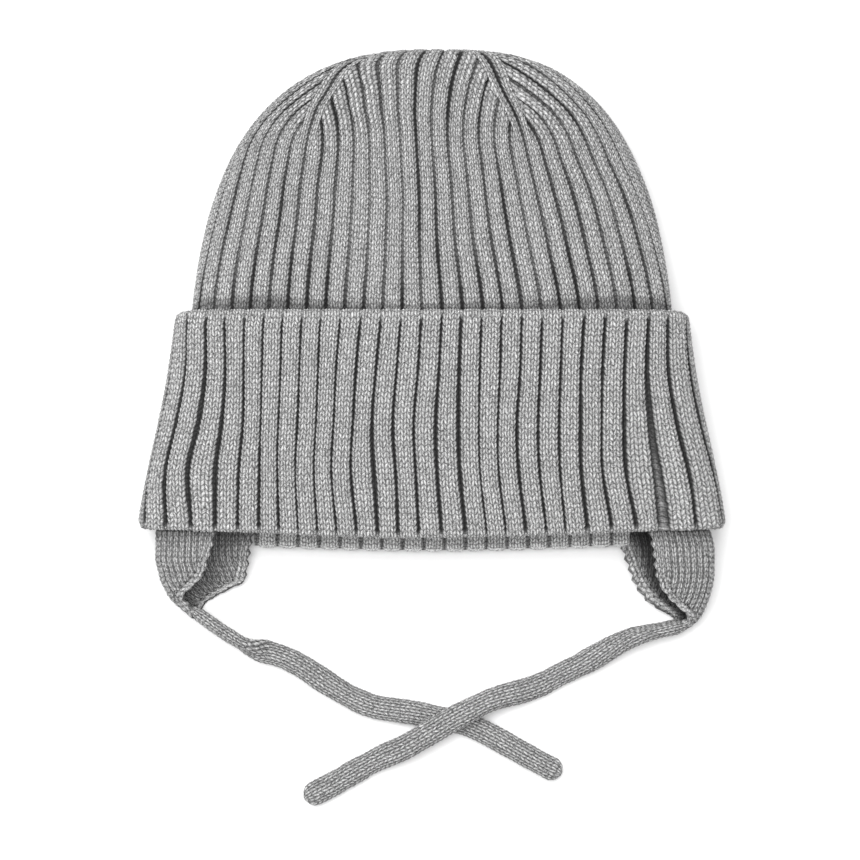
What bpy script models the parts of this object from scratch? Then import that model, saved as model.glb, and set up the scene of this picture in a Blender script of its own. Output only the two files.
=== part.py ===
"""Baby's knitted hat lying on its back: a ribbed crown, a deep turned-up cuff, two ear flaps and two ties.

The frame is in metres. The hat lies on the plane z = 0 with its front up, +Y runs from the rim to the crown,
and the origin is the middle of the cuff's back, where the hat rests. Left and right are as seen from above.
"""

import math

import bmesh
import bpy
import numpy as np

# The whole hat, laid flat.
CROWN_HALF_WIDTH = 0.0873  # at its widest, which the cuff hides
CROWN_RISE = 0.1300  # from the widest place to the top edge
CROWN_HALF_LOFT = 0.0135  # half the height of the lying crown
CROWN_LEAN = 0.0027  # the top edge sits this far to the right
WIDEST_Y = 0.0036
BODY_WALL = 0.0032  # ribbed knit, over the crests
RIM_DROP = 0.0496  # from the widest place down to the rim
RIM_SAG = 0.0036  # the rim is this much lower in the middle than at the sides
RIM_TUCK = 0.0100  # the front of the rim, and its back where a flap hangs, are drawn up by this much
RIM_FLARE = 0.143  # the rim is wider than the crown by this share
FLARE_DELAY = 1.1  # above 1, the flare comes later on the way down
RIM_LOFT_LOSS = 0.2  # and lies lower by this share

# The ribs, and the four lines where they are narrowed away towards the top.
RIB_COUNT = 56
PANELS = 4
RIB_DEPTH = 0.0013
RIB_CREST = 0.68  # flat share of a rib's pitch
SCALLOP = 0.0008  # a rib's end stands out of the rim by this
SEAM_OFFSET = -0.5  # ribs from the middle of the front to the middle of its panel
LAST_RIBS = 0.2  # share of the ribs that reach the closing of the top

# The cuff, a doubled band that stands round the crown.
CUFF_HEIGHT = 0.0792
CUFF_TOP_Y = 0.0396
CUFF_WALL = 0.0036
CUFF_EDGE = 0.0016  # how far its two edges are rounded
CUFF_SAG = 0.003  # its lower edge is this much lower in the middle
CUFF_CORNER = 0.0032  # its four corners are rounded off by this much
CUFF_CORNER_SHARE = 0.13  # over this share of a quarter of the girth
CUFF_FACE_GAP = 0.0005
CUFF_SIDE_GAP = 0.0026
CUFF_BOW = 0.0016  # its ribs bow to the left by this, half way down
CUFF_SIDE_STRETCH = 0.085  # share by which its lower ribs spread towards the sides

# The ear flaps and ties. Left and right differ a little in the way they lie.
FLAP_WALL = 0.0024
FLAP_SEAM_GAP = 0.0003
FLAP_EDGE_GAP = 0.001  # between a flap's edge and the first rib of the open rim
FLAP_TIP_HALF_LOFT = 0.0040
FLAPS = {
    "left": {"side": -1, "length": 0.0342, "draw": 0.0119, "tip_turn": 47, "front_ribs": 3.5, "back_ribs": 5.5},
    "right": {"side": 1, "length": 0.0400, "draw": 0.0094, "tip_turn": 76, "front_ribs": 3.5, "back_ribs": 4.5},
}
TIE_WIDTH = 0.0088
TIE_THICKNESS = 0.0044
TIE_GAP = 0.0003
TIE_POINT_SPACING = 0.011

# Shapes of the laid cross-sections: an ellipse has the exponent 2, a box a very large one.
OUTLINE_EXPONENT = 2.65
FRONT_EXPONENT = 2.6
BACK_EXPONENT = 5.0
TOP_TILT = math.radians(34)  # how far the top closes round on the back
TOP_TILT_POWER = 5  # the higher, the nearer to the top this starts
DROP_LENGTH = 0.025  # the crown's back reaches the surface this far above the cuff

# Up the crown from the widest place (0) to the closing (1): the share of a quarter of the girth that half of
# the front panel takes, and the turn of the ribs round the hat, as a share of a quarter.
PANEL_TABLE = (
    {"rise": 0.00, "front_share": 0.500, "turn": 0.000},
    {"rise": 0.24, "front_share": 0.505, "turn": 0.000},
    {"rise": 0.43, "front_share": 0.530, "turn": -0.022},
    {"rise": 0.57, "front_share": 0.555, "turn": -0.034},
    {"rise": 0.65, "front_share": 0.535, "turn": -0.042},
    {"rise": 0.73, "front_share": 0.485, "turn": -0.055},
    {"rise": 0.80, "front_share": 0.460, "turn": -0.080},
    {"rise": 0.88, "front_share": 0.480, "turn": -0.130},
    {"rise": 1.00, "front_share": 0.480, "turn": -0.170},
)
NARROWING_START = 0.68  # the rise where the panels begin to lose ribs
NARROWING_EASE = 0.1

# Down each flap from its root (0) to its tip (1): how far its fold is drawn inwards, how far its front and
# back halves reach in from the fold, how far its rows have turned, its loft, and the half-width of the round
# that its fold belongs to. All are shares of the flap's own sizes and of the rim's.
FLAP_ROWS = {
    "left": (
        {"down": 0.00, "draw": 0.00, "front": 1.00, "back": 1.00, "turn": 0.00, "loft": 1.00, "fold": 1.00},
        {"down": 0.26, "draw": -0.02, "front": 0.96, "back": 0.98, "turn": 0.00, "loft": 0.97, "fold": 0.80},
        {"down": 0.41, "draw": -0.02, "front": 0.89, "back": 0.96, "turn": 0.00, "loft": 0.85, "fold": 0.60},
        {"down": 0.50, "draw": 0.04, "front": 0.83, "back": 0.92, "turn": 0.00, "loft": 0.73, "fold": 0.50},
        {"down": 0.61, "draw": 0.11, "front": 0.64, "back": 0.86, "turn": 0.00, "loft": 0.58, "fold": 0.38},
        {"down": 0.70, "draw": 0.23, "front": 0.42, "back": 0.71, "turn": 0.08, "loft": 0.44, "fold": 0.29},
        {"down": 0.79, "draw": 0.36, "front": 0.22, "back": 0.55, "turn": 0.16, "loft": 0.30, "fold": 0.20},
        {"down": 0.93, "draw": 0.76, "front": 0.14, "back": 0.27, "turn": 0.52, "loft": 0.08, "fold": 0.10},
        {"down": 1.00, "draw": 1.00, "front": 0.14, "back": 0.15, "turn": 1.00, "loft": 0.00, "fold": 0.07},
    ),
    "right": (
        {"down": 0.00, "draw": 0.00, "front": 1.00, "back": 1.00, "turn": 0.00, "loft": 1.00, "fold": 1.00},
        {"down": 0.21, "draw": -0.25, "front": 1.06, "back": 1.04, "turn": 0.00, "loft": 0.98, "fold": 0.85},
        {"down": 0.32, "draw": -0.27, "front": 1.05, "back": 1.15, "turn": 0.00, "loft": 0.93, "fold": 0.75},
        {"down": 0.56, "draw": -0.22, "front": 0.95, "back": 1.07, "turn": 0.00, "loft": 0.66, "fold": 0.45},
        {"down": 0.66, "draw": -0.12, "front": 0.76, "back": 0.82, "turn": 0.00, "loft": 0.52, "fold": 0.33},
        {"down": 0.77, "draw": 0.05, "front": 0.46, "back": 0.58, "turn": 0.04, "loft": 0.36, "fold": 0.24},
        {"down": 0.87, "draw": 0.27, "front": 0.20, "back": 0.35, "turn": 0.16, "loft": 0.20, "fold": 0.16},
        {"down": 0.955, "draw": 0.66, "front": 0.15, "back": 0.24, "turn": 0.52, "loft": 0.06, "fold": 0.10},
        {"down": 1.00, "draw": 1.00, "front": 0.14, "back": 0.18, "turn": 1.00, "loft": 0.00, "fold": 0.07},
    ),
}

# The ties' routes over the surface, from the flap's tip to the free end, chosen by hand: x, y in metres.
LEFT_ROUTE = (
    (-0.0846, -0.0701), (-0.0810, -0.0727), (-0.0763, -0.0760), (-0.0706, -0.0796), (-0.0655, -0.0823),
    (-0.0598, -0.0839), (-0.0533, -0.0860), (-0.0468, -0.0893), (-0.0403, -0.0936), (-0.0338, -0.0977),
    (-0.0274, -0.1012), (-0.0209, -0.1037), (-0.0144, -0.1048), (-0.0072, -0.1058), (0.0000, -0.1071),
    (0.0065, -0.1084), (0.0130, -0.1103), (0.0202, -0.1136), (0.0288, -0.1183), (0.0374, -0.1231),
    (0.0469, -0.1281),
)
RIGHT_ROUTE = (
    (0.0889, -0.0746), (0.0850, -0.0755), (0.0785, -0.0769), (0.0720, -0.0788), (0.0655, -0.0819),
    (0.0590, -0.0857), (0.0526, -0.0891), (0.0461, -0.0922), (0.0396, -0.0956), (0.0331, -0.0979),
    (0.0266, -0.0995), (0.0202, -0.1015), (0.0130, -0.1051), (0.0065, -0.1085), (-0.0014, -0.1132),
    (-0.0101, -0.1183), (-0.0187, -0.1222), (-0.0274, -0.1269), (-0.0360, -0.1318), (-0.0462, -0.1371),
)
# The right tie passes over the left one here, and comes down again over this length on each side of it.
CROSSING_XY = (0.0065, -0.1084)
CROSSING_FLAT = 0.0115
CROSSING_RAMP = 0.024
# Each tie leaves its flap on edge, keeps so for its hold and turns flat over its turn.
TIE_EDGE = {
    "left": {"tilt": 80, "hold": 0.014, "turn": 0.022},
    "right": {"tilt": 52, "hold": 0.004, "turn": 0.032},
}

QUARTER_SAMPLES = 240
CUFF_STACK = CUFF_WALL + CUFF_FACE_GAP
RIM_Y = WIDEST_Y - RIM_DROP
HALF_PANEL = RIB_COUNT / PANELS / 2
QUARTER_RIBS = RIB_COUNT / 4


def smoothstep(value):
    """0 below 0, 1 above 1, and a smooth rise between."""
    value = np.clip(value, 0.0, 1.0)
    return value * value * (3 - 2 * value)


def eased(value, start):
    """0 below 0 and 1 at 1, straight but for a soft start."""
    value = np.clip(value, 0.0, 1.0)
    return np.where(value < start, value * value / (2 * start), value - start / 2) / (1 - start / 2)


def column(table, key, name, at):
    """A named column of a short table, read at a place between its rows."""
    return float(np.interp(at, [row[key] for row in table], [row[name] for row in table]))


def depth_under_cuff_top(y):
    """0 at the cuff's top edge and above it, 1 at the rim."""
    return np.clip((CUFF_TOP_Y - y) / (CUFF_TOP_Y - RIM_Y), 0.0, 1.0)


def flare(y):
    return 1 + RIM_FLARE * smoothstep(depth_under_cuff_top(y) ** FLARE_DELAY)


def half_loft(y):
    return CROWN_HALF_LOFT * (1 - RIM_LOFT_LOSS * smoothstep(depth_under_cuff_top(y)))


def body_half_width(y):
    rise = np.clip((y - WIDEST_Y) / CROWN_RISE, 0.0, 1.0)
    return CROWN_HALF_WIDTH * (1 - rise**OUTLINE_EXPONENT) ** (1 / OUTLINE_EXPONENT) * flare(y)


def body_base(y):
    """Height of the body's back over the surface: it lies on the cuff, then comes down to the surface."""
    return CUFF_STACK * (1 - smoothstep((y - CUFF_TOP_Y) / DROP_LENGTH))


def unit_section(across, along, through):
    """Scales directions on to the unit pillow shape. Returns the points and their outward gradients."""
    power = np.where(through >= 0, FRONT_EXPONENT, BACK_EXPONENT)
    side_sum = np.abs(across) ** OUTLINE_EXPONENT + np.abs(along) ** OUTLINE_EXPONENT
    scale = (side_sum ** (power / OUTLINE_EXPONENT) + np.abs(through) ** power) ** (-1 / power)
    across, along, through = across * scale, along * scale, through * scale
    side_sum = np.maximum(side_sum * scale**OUTLINE_EXPONENT, 1e-12)
    outline = side_sum ** (power / OUTLINE_EXPONENT - 1)
    gradient = (
        outline * np.abs(across) ** (OUTLINE_EXPONENT - 1) * np.sign(across),
        outline * np.abs(along) ** (OUTLINE_EXPONENT - 1) * np.sign(along),
        np.abs(through) ** (power - 1) * np.sign(through),
    )
    return (across, along, through), gradient


def quarter_angles():
    """Four rows of angles round a ring: front to right, right to back, back to left, left to front."""
    turn = np.linspace(0, math.pi / 2, QUARTER_SAMPLES)
    return np.stack([math.pi / 2 - turn, -turn, -math.pi / 2 - turn, math.pi - turn])


def finished_ring(points, normals):
    """Ring data for ring_at: points, unit normals and the running length of each quarter."""
    normals = normals / np.linalg.norm(normals, axis=-1, keepdims=True)
    steps = np.linalg.norm(np.diff(points, axis=1), axis=-1)
    lengths = np.concatenate([np.zeros((4, 1)), np.cumsum(steps, axis=1)], axis=1)
    return {"points": points, "normals": normals, "lengths": lengths}


def flat_ring(y, width, loft, base):
    """A level ring: half its width, half its height, and the height of its back."""
    angle = quarter_angles()
    (across, _, through), (slope_x, _, slope_z) = unit_section(np.cos(angle), 0 * angle, np.sin(angle))
    points = np.stack([width * across, np.full_like(angle, y), base + loft * (1 + through)], axis=-1)
    normals = np.stack([slope_x / width, 0 * angle, slope_z / loft], axis=-1)
    return finished_ring(points, normals)


def rise_angles():
    """Polar angles against the share of the way up the front, over the top edge, to the closing."""
    polar = np.linspace(math.pi / 2, 0, 2000)
    tilt = TOP_TILT * np.cos(polar) ** TOP_TILT_POWER
    (_, along, through), _ = unit_section(0 * polar, np.cos(polar - tilt), np.sin(polar - tilt))
    steps = np.hypot(np.diff(along) * CROWN_RISE, np.diff(through) * CROWN_HALF_LOFT)
    share = np.concatenate([[0], np.cumsum(steps)])
    return share / share[-1], polar


RISE_SHARE, RISE_POLAR = rise_angles()


def station_at(y):
    """The station of the ring whose front middle lies at y, in the lower part of the crown."""
    (_, along, _), _ = unit_section(0 * RISE_POLAR, np.cos(RISE_POLAR), np.sin(RISE_POLAR))
    return float(np.interp(y, WIDEST_Y + CROWN_RISE * along, RISE_SHARE))


def crown_ring(rise):
    """A ring of the crown, level at the widest place and tilted more and more towards the closing."""
    polar = float(np.interp(rise, RISE_SHARE, RISE_POLAR))
    tilt = TOP_TILT * math.cos(polar) ** TOP_TILT_POWER
    angle = quarter_angles()
    up, out = math.cos(polar), math.sin(polar) * np.sin(angle)
    along = np.maximum(up * math.cos(tilt) + out * math.sin(tilt), 0)
    through = out * math.cos(tilt) - up * math.sin(tilt)
    (across, along, through), slope = unit_section(math.sin(polar) * np.cos(angle), along, through)
    y = WIDEST_Y + CROWN_RISE * along
    loft = half_loft(y)
    lean = CROWN_LEAN * along**6
    width = CROWN_HALF_WIDTH * flare(y)
    points = np.stack([width * across + lean, y, body_base(y.min()) + loft * (1 + through)], axis=-1)
    normals = np.stack([slope[0] / CROWN_HALF_WIDTH, slope[1] / CROWN_RISE, slope[2] / CROWN_HALF_LOFT], -1)
    return finished_ring(points, normals)


def body_ring(station):
    """A ring of the body: station 0 to 1 up the crown, 0 to -1 from the widest place down to the rim."""
    if station >= 0:
        return crown_ring(station)
    y = WIDEST_Y + station * RIM_DROP
    return flat_ring(y, body_half_width(y), half_loft(y), CUFF_STACK)


def cuff_ring(share, outset):
    """A ring of the cuff: share 0 to 1 from its top edge down, outset 0 on its inside and 1 on its outside."""
    y = CUFF_TOP_Y - share * CUFF_HEIGHT
    out = outset * CUFF_WALL
    width = body_half_width(y) + CUFF_SIDE_GAP + out
    return flat_ring(y, width, half_loft(y) + CUFF_FACE_GAP + out, CUFF_WALL - out)


def ring_at(ring, quarters):
    """Points and normals at places round a ring, in quarters of its girth: 0 front, 1 right, 2 back, -1 left."""
    quarters = np.mod(np.asarray(quarters, float), 4.0)
    index = np.minimum(quarters.astype(int), 3)
    points = np.zeros((len(quarters), 3))
    normals = np.zeros((len(quarters), 3))
    for quarter in range(4):
        here = index == quarter
        lengths = ring["lengths"][quarter]
        along = (quarters[here] - quarter) * lengths[-1]
        for axis in range(3):
            points[here, axis] = np.interp(along, lengths, ring["points"][quarter, :, axis])
            normals[here, axis] = np.interp(along, lengths, ring["normals"][quarter, :, axis])
    return points, normals / np.linalg.norm(normals, axis=1, keepdims=True)


def rib_places(offsets):
    """Rib numbers round the hat, with the given places inside each rib, whose middle is 0."""
    return np.array([rib + offset for rib in range(RIB_COUNT) for offset in offsets])


CREST_OFFSETS = (-0.5, -RIB_CREST / 2, RIB_CREST / 2)


def rib_relief(ribs):
    """How far the surface lies under the crests: the depth in a groove, 0 on a crest."""
    from_groove = np.abs(np.mod(ribs, 1.0) - 0.5)
    return RIB_DEPTH * np.clip(1 - from_groove / (0.5 - RIB_CREST / 2), 0, 1)


def narrowed(ribs, rise):
    """Where ribs lie at a rise of the crown, in quarters, and which of them the narrowing has taken away."""
    left = 1 - (1 - LAST_RIBS) * eased((rise - NARROWING_START) / (1 - NARROWING_START), NARROWING_EASE)
    front_share = column(PANEL_TABLE, "rise", "front_share", rise)
    turn = column(PANEL_TABLE, "rise", "turn", rise)
    panel = np.floor((ribs - SEAM_OFFSET + HALF_PANEL) / (2 * HALF_PANEL))
    middle = SEAM_OFFSET + panel * 2 * HALF_PANEL
    across = (ribs - middle) / (HALF_PANEL * left)
    gone = np.abs(across) >= 1 - 1e-6
    half_share = np.where(np.mod(panel, 2) == 0, front_share, 1 - front_share)
    quarters = SEAM_OFFSET / QUARTER_RIBS + panel + np.clip(across, -1, 1) * half_share
    return quarters + turn, gone


def rim_height(quarters):
    """How far the rim lies above its lowest place: its back shows under the cuff, sags in the middle and is
    tucked up over the flaps, and its front is tucked up inside the cuff."""
    quarters = np.asarray(quarters, float)
    to_side = np.abs(np.mod(quarters, 2.0) - 1.0)
    on_right = np.mod(quarters, 4.0) < 2.0
    seam = np.where(on_right, FLAPS["right"]["back_ribs"], FLAPS["left"]["back_ribs"]) / QUARTER_RIBS
    tucked = (to_side < seam + 1e-4) | (np.cos(quarters * math.pi / 2) > 0)
    return RIM_SAG * (1 - to_side) ** 1.5 + RIM_TUCK * tucked


def body_points(station, ribs, wall=0.0):
    """A row of the body's knit, wall metres under its crests."""
    rise = max(station, 0.0)
    quarters, gone = narrowed(ribs, rise)
    points, normals = ring_at(body_ring(station), quarters)
    relief = np.where(gone, RIB_DEPTH, rib_relief(ribs)) if wall == 0 else wall
    points = points - normals * np.reshape(relief, (-1, 1))
    if station <= -1:
        scallop = SCALLOP * (1 - rib_relief(ribs) / RIB_DEPTH)
        points[:, 1] += rim_height(quarters) - scallop
    return points


def cuff_quarters(ribs, share):
    """Where ribs lie round the cuff: they bow to one side half way down, and spread at the sides lower down."""
    quarters = ribs / QUARTER_RIBS
    whole = np.round(quarters / 2) * 2
    inside = quarters - whole
    spread = CUFF_SIDE_STRETCH * smoothstep(share)
    inside = inside * (1 - spread) + spread * inside**3
    bow = CUFF_BOW / body_half_width(CUFF_TOP_Y) * math.sin(math.pi * share)
    return whole + inside - bow


def cuff_points(share, ribs, outset, ribbed=True):
    """A row of the cuff's knit. Its lower edge sags in the middle."""
    quarters = cuff_quarters(ribs, share)
    points, normals = ring_at(cuff_ring(share, outset), quarters)
    if ribbed:
        points = points - normals * rib_relief(ribs)[:, None]
    to_side = np.abs(np.mod(quarters, 2.0) - 1.0)
    corner = CUFF_CORNER * np.clip(1 - to_side / CUFF_CORNER_SHARE, 0, 1) ** 2
    points[:, 1] += corner * (2 * share - 1) ** 5 - CUFF_SAG * smoothstep(to_side) * share**2
    return points


class ShellBuilder:
    """Builds one closed shell from rows of points, with points that coincide made one."""

    def __init__(self):
        self.mesh = bmesh.new()
        self.known = {}

    def vertex(self, point):
        key = tuple(np.round(point, 7))
        if key not in self.known:
            self.known[key] = self.mesh.verts.new(point)
        return self.known[key]

    def face(self, points):
        """A face through the points, or none where they fall together."""
        corners = []
        for vertex in map(self.vertex, points):
            if vertex not in corners:
                corners.append(vertex)
        if len(corners) > 2 and self.mesh.faces.get(corners) is None:
            self.mesh.faces.new(corners)

    def wall(self, rows):
        """Quads between rows of points that go all the way round."""
        for low, high in zip(rows, rows[1:]):
            for here in range(len(low)):
                after = (here + 1) % len(low)
                self.face([low[here], low[after], high[after], high[here]])

    def edge(self, outer, inner):
        """One face a rib between the last outer row and the first inner one, which has fewer points."""
        outer_step, inner_step = len(outer) // RIB_COUNT, len(inner) // RIB_COUNT
        for rib in range(RIB_COUNT):
            outside = [outer[(rib * outer_step + i) % len(outer)] for i in range(outer_step + 1)]
            inside = [inner[(rib * inner_step + i) % len(inner)] for i in range(inner_step + 1)]
            self.face(outside + inside[::-1])

    def cap(self, row):
        self.face(row)

    def done(self, name, material):
        bmesh.ops.recalc_face_normals(self.mesh, faces=self.mesh.faces)
        data = bpy.data.meshes.new(name)
        self.mesh.to_mesh(data)
        self.mesh.free()
        return linked(bpy.data.objects.new(name, data), material)


def linked(obj, material):
    """Puts an object in the hat's collection, with its finish and smooth shading."""
    obj.data.materials.append(material)
    if obj.type == "MESH":
        obj.data.shade_smooth()
        obj.data.set_sharp_from_angle(angle=math.radians(50))
    hat.objects.link(obj)
    return obj


def knit(name, shade, roughness=0.95):
    """A matt grey yarn."""
    material = bpy.data.materials.new(name)
    material.use_nodes = True
    surface = material.node_tree.nodes["Principled BSDF"]
    surface.inputs["Base Color"].default_value = (shade, shade, shade, 1)
    surface.inputs["Roughness"].default_value = roughness
    surface.inputs["Metallic"].default_value = 0
    return material


def crown():
    """The body of the hat, one ribbed tube from the rim to the closing of its top."""
    over_cuff = station_at(CUFF_TOP_Y + CUFF_EDGE)
    narrowing = NARROWING_START + (1 - NARROWING_START) * np.array([0, 0.2, 0.4, 0.6, 0.78, 0.93])
    stations = (-1.0, -0.5, 0.0, over_cuff, 0.37, 0.8 * NARROWING_START, *narrowing)
    outer_ribs = rib_places(CREST_OFFSETS)
    inner_ribs = rib_places((-0.5,))
    outer = [body_points(station, outer_ribs) for station in stations]
    inner = [body_points(station, inner_ribs, BODY_WALL) for station in stations[:-1]]
    builder = ShellBuilder()
    builder.wall(outer)
    builder.cap(outer[-1])
    builder.wall(inner)
    builder.cap(inner[-1])
    builder.edge(outer[0], inner[0])
    return builder.done("crown", knit("crown_knit", 0.34))


def cuff():
    """The turned-up cuff, a ribbed sleeve with two rounded edges that flares towards its lower one."""
    rounding = CUFF_EDGE / CUFF_HEIGHT
    outer_ribs = rib_places(CREST_OFFSETS)
    inner_ribs = rib_places((-0.5, 0.0))
    middle = (0.3, 0.55, 0.8)
    outer = [cuff_points(0.0, outer_ribs, 0.55, ribbed=False)]
    outer += [cuff_points(share, outer_ribs, 1.0) for share in (2 * rounding, *middle, 1 - 2 * rounding)]
    outer += [cuff_points(1.0, outer_ribs, 0.55, ribbed=False)]
    inner = [cuff_points(share, inner_ribs, 0.0, ribbed=False) for share in (rounding, *middle, 1 - rounding)]
    builder = ShellBuilder()
    builder.wall(outer)
    builder.wall(inner)
    builder.edge(outer[0], inner[0])
    builder.edge(outer[-1], inner[-1])
    return builder.done("cuff", knit("cuff_knit", 0.36))


def flap_root_y():
    return RIM_Y + RIM_TUCK - SCALLOP - FLAP_SEAM_GAP


def flap_row(flap, row, inset):
    """A row across a flap, inset metres inside its outer face, from its front edge round its fold to its back
    edge. The fold's round takes more of the knit than it shows from above, by a share of its loft."""
    round_share = math.pi / 2 - 1
    root_y = flap_root_y()
    root_width = body_half_width(root_y)
    root_loft = half_loft(root_y)
    rib = flat_ring(root_y, root_width, root_loft, 0.0)["lengths"][0, -1] / QUARTER_RIBS
    loft = FLAP_TIP_HALF_LOFT + (root_loft - FLAP_TIP_HALF_LOFT) * row["loft"]
    fold = root_width * row["fold"]
    front, back = (
        (flap[f"{half}_ribs"] * rib - FLAP_EDGE_GAP - round_share * root_loft) * row[half] + round_share * loft
        for half in ("front", "back")
    )
    arcs = np.concatenate([np.linspace(-front, 0, 7, endpoint=False), np.linspace(0, back, 9)])
    inner_arcs = np.maximum(np.abs(arcs) * (1 - inset / loft), np.abs(arcs) - math.pi / 2 * inset)
    ring = flat_ring(0.0, fold - inset, loft - inset, CUFF_STACK * row["loft"] + inset)
    points, _ = ring_at(ring, 1 + np.sign(arcs) * inner_arcs / ring["lengths"][0, -1])
    turn = math.radians(flap["tip_turn"]) * row["turn"]
    inwards = fold - points[:, 0]
    x = flap["side"] * (root_width - flap["draw"] * row["draw"] - inwards * math.cos(turn))
    y = root_y - flap["length"] * row["down"] + inwards * math.sin(turn)
    return np.stack([x, y, points[:, 2]], axis=1)


def ear_flap(name):
    """An ear flap, a leaf of knit folded round the side of the hat, that narrows to the tie at its tip."""
    outer = [flap_row(FLAPS[name], row, 0.0) for row in FLAP_ROWS[name]]
    inner = [flap_row(FLAPS[name], row, FLAP_WALL) for row in FLAP_ROWS[name]]
    builder = ShellBuilder()
    builder.wall([[*out, *into[::-1]] for out, into in zip(outer, inner)])
    for out, into in ((outer[0], inner[0]), (outer[-1], inner[-1])):
        for here in range(len(out) - 1):
            builder.face([out[here], out[here + 1], into[here + 1], into[here]])
    return builder.done(f"ear_flap_{name}", knit(f"flap_{name}_knit", 0.35))


def smooth_route(points, spacing):
    """Points a spacing apart along a smooth curve (Catmull-Rom) through the route's own points."""
    points = np.array(points, float)
    padded = np.concatenate([[2 * points[0] - points[1]], points, [2 * points[-1] - points[-2]]])
    fine = []
    for a, b, c, d in zip(padded, padded[1:], padded[2:], padded[3:]):
        for t in np.linspace(0, 1, 12, endpoint=False):
            fine.append(0.5 * (2 * b + (c - a) * t + (2 * a - 5 * b + 4 * c - d) * t**2
                               + (3 * b - a - 3 * c + d) * t**3))
    fine = np.array([*fine, points[-1]])
    steps = np.concatenate([[0], np.cumsum(np.linalg.norm(np.diff(fine, axis=0), axis=1))])
    count = max(2, round(steps[-1] / spacing)) + 1
    at = np.linspace(0, steps[-1], count)
    return np.stack([np.interp(at, steps, fine[:, axis]) for axis in range(points.shape[1])], 1), at


def tie_height(name, along, xy):
    """Height and tilt of a tie's middle: it turns from its edge on to its flat, and the right one rises."""
    edge = TIE_EDGE[name]
    tilt = math.radians(edge["tilt"]) * (1 - smoothstep((along - edge["hold"]) / edge["turn"]))
    height = TIE_GAP + TIE_THICKNESS / 2 + (TIE_WIDTH - TIE_THICKNESS) / 2 * np.sin(tilt)
    if name == "right":
        from_crossing = np.linalg.norm(xy - np.array(CROSSING_XY), axis=1)
        over = 1 - smoothstep((from_crossing - CROSSING_FLAT) / CROSSING_RAMP)
        height = height + (TIE_THICKNESS + TIE_GAP) * over
    return height, tilt


def tie(name, route):
    """A knitted tie, a flat cord with round edges that lies on the surface."""
    xy, along = smooth_route(route, TIE_POINT_SPACING)
    height, tilt = tie_height(name, along, xy)
    data = bpy.data.curves.new(f"tie_{name}", "CURVE")
    data.dimensions = "3D"
    data.twist_mode = "Z_UP"
    data.extrude = (TIE_WIDTH - TIE_THICKNESS) / 2
    data.bevel_depth = TIE_THICKNESS / 2
    data.bevel_resolution = 2
    data.use_fill_caps = True
    spline = data.splines.new("POLY")
    spline.points.add(len(xy) - 1)
    for point, (x, y), z, turn in zip(spline.points, xy, height, tilt):
        point.co = (x, y, z, 1)
        point.tilt = math.pi / 2 - turn
    spline.use_smooth = True
    return linked(bpy.data.objects.new(f"tie_{name}", data), knit(f"tie_{name}_knit", 0.35))


for startup_object in list(bpy.data.objects):
    bpy.data.objects.remove(startup_object)
hat = bpy.data.collections.new("baby_hat")
bpy.context.scene.collection.children.link(hat)

crown()
cuff()
ear_flap("left")
ear_flap("right")
tie("left", LEFT_ROUTE)
tie("right", RIGHT_ROUTE)
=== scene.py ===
"""A baby's grey knitted hat, lying on its back on a white surface: its yarn, stitches, cuff, flaps and ties."""

import math

import bmesh
import bpy
import numpy as np
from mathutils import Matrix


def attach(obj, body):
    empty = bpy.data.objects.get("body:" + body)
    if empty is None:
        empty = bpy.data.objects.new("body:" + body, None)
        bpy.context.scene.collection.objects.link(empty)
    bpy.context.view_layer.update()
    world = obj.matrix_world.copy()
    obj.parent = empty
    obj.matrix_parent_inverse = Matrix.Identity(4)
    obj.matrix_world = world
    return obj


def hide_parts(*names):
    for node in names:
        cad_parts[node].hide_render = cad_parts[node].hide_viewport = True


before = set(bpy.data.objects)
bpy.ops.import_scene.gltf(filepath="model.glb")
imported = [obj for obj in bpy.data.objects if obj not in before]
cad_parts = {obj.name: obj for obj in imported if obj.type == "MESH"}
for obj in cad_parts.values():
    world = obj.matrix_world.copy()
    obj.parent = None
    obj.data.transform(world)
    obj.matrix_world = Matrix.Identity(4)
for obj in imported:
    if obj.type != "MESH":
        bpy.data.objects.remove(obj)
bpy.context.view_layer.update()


# View.
# The hat is seen from straight above, its crown to the top of the picture, through a long lens. The scale is set
# at the height of the hat's own outline, halfway up the lying knit.
VIEW_WIDTH = 0.3096
VIEW_MIDDLE = (-0.0007, -0.0036)
VIEW_LEVEL = 0.012
LENS = 200.0
camera = bpy.data.objects.new("view", bpy.data.cameras.new("view"))
camera.data.lens = LENS
camera.data.sensor_width = 36.0
camera.data.clip_end = 20.0
camera.location = (*VIEW_MIDDLE, VIEW_LEVEL + VIEW_WIDTH * LENS / camera.data.sensor_width)
bpy.context.scene.collection.objects.link(camera)
bpy.context.scene.camera = camera
bpy.context.scene.view_settings.view_transform = "Standard"


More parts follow.
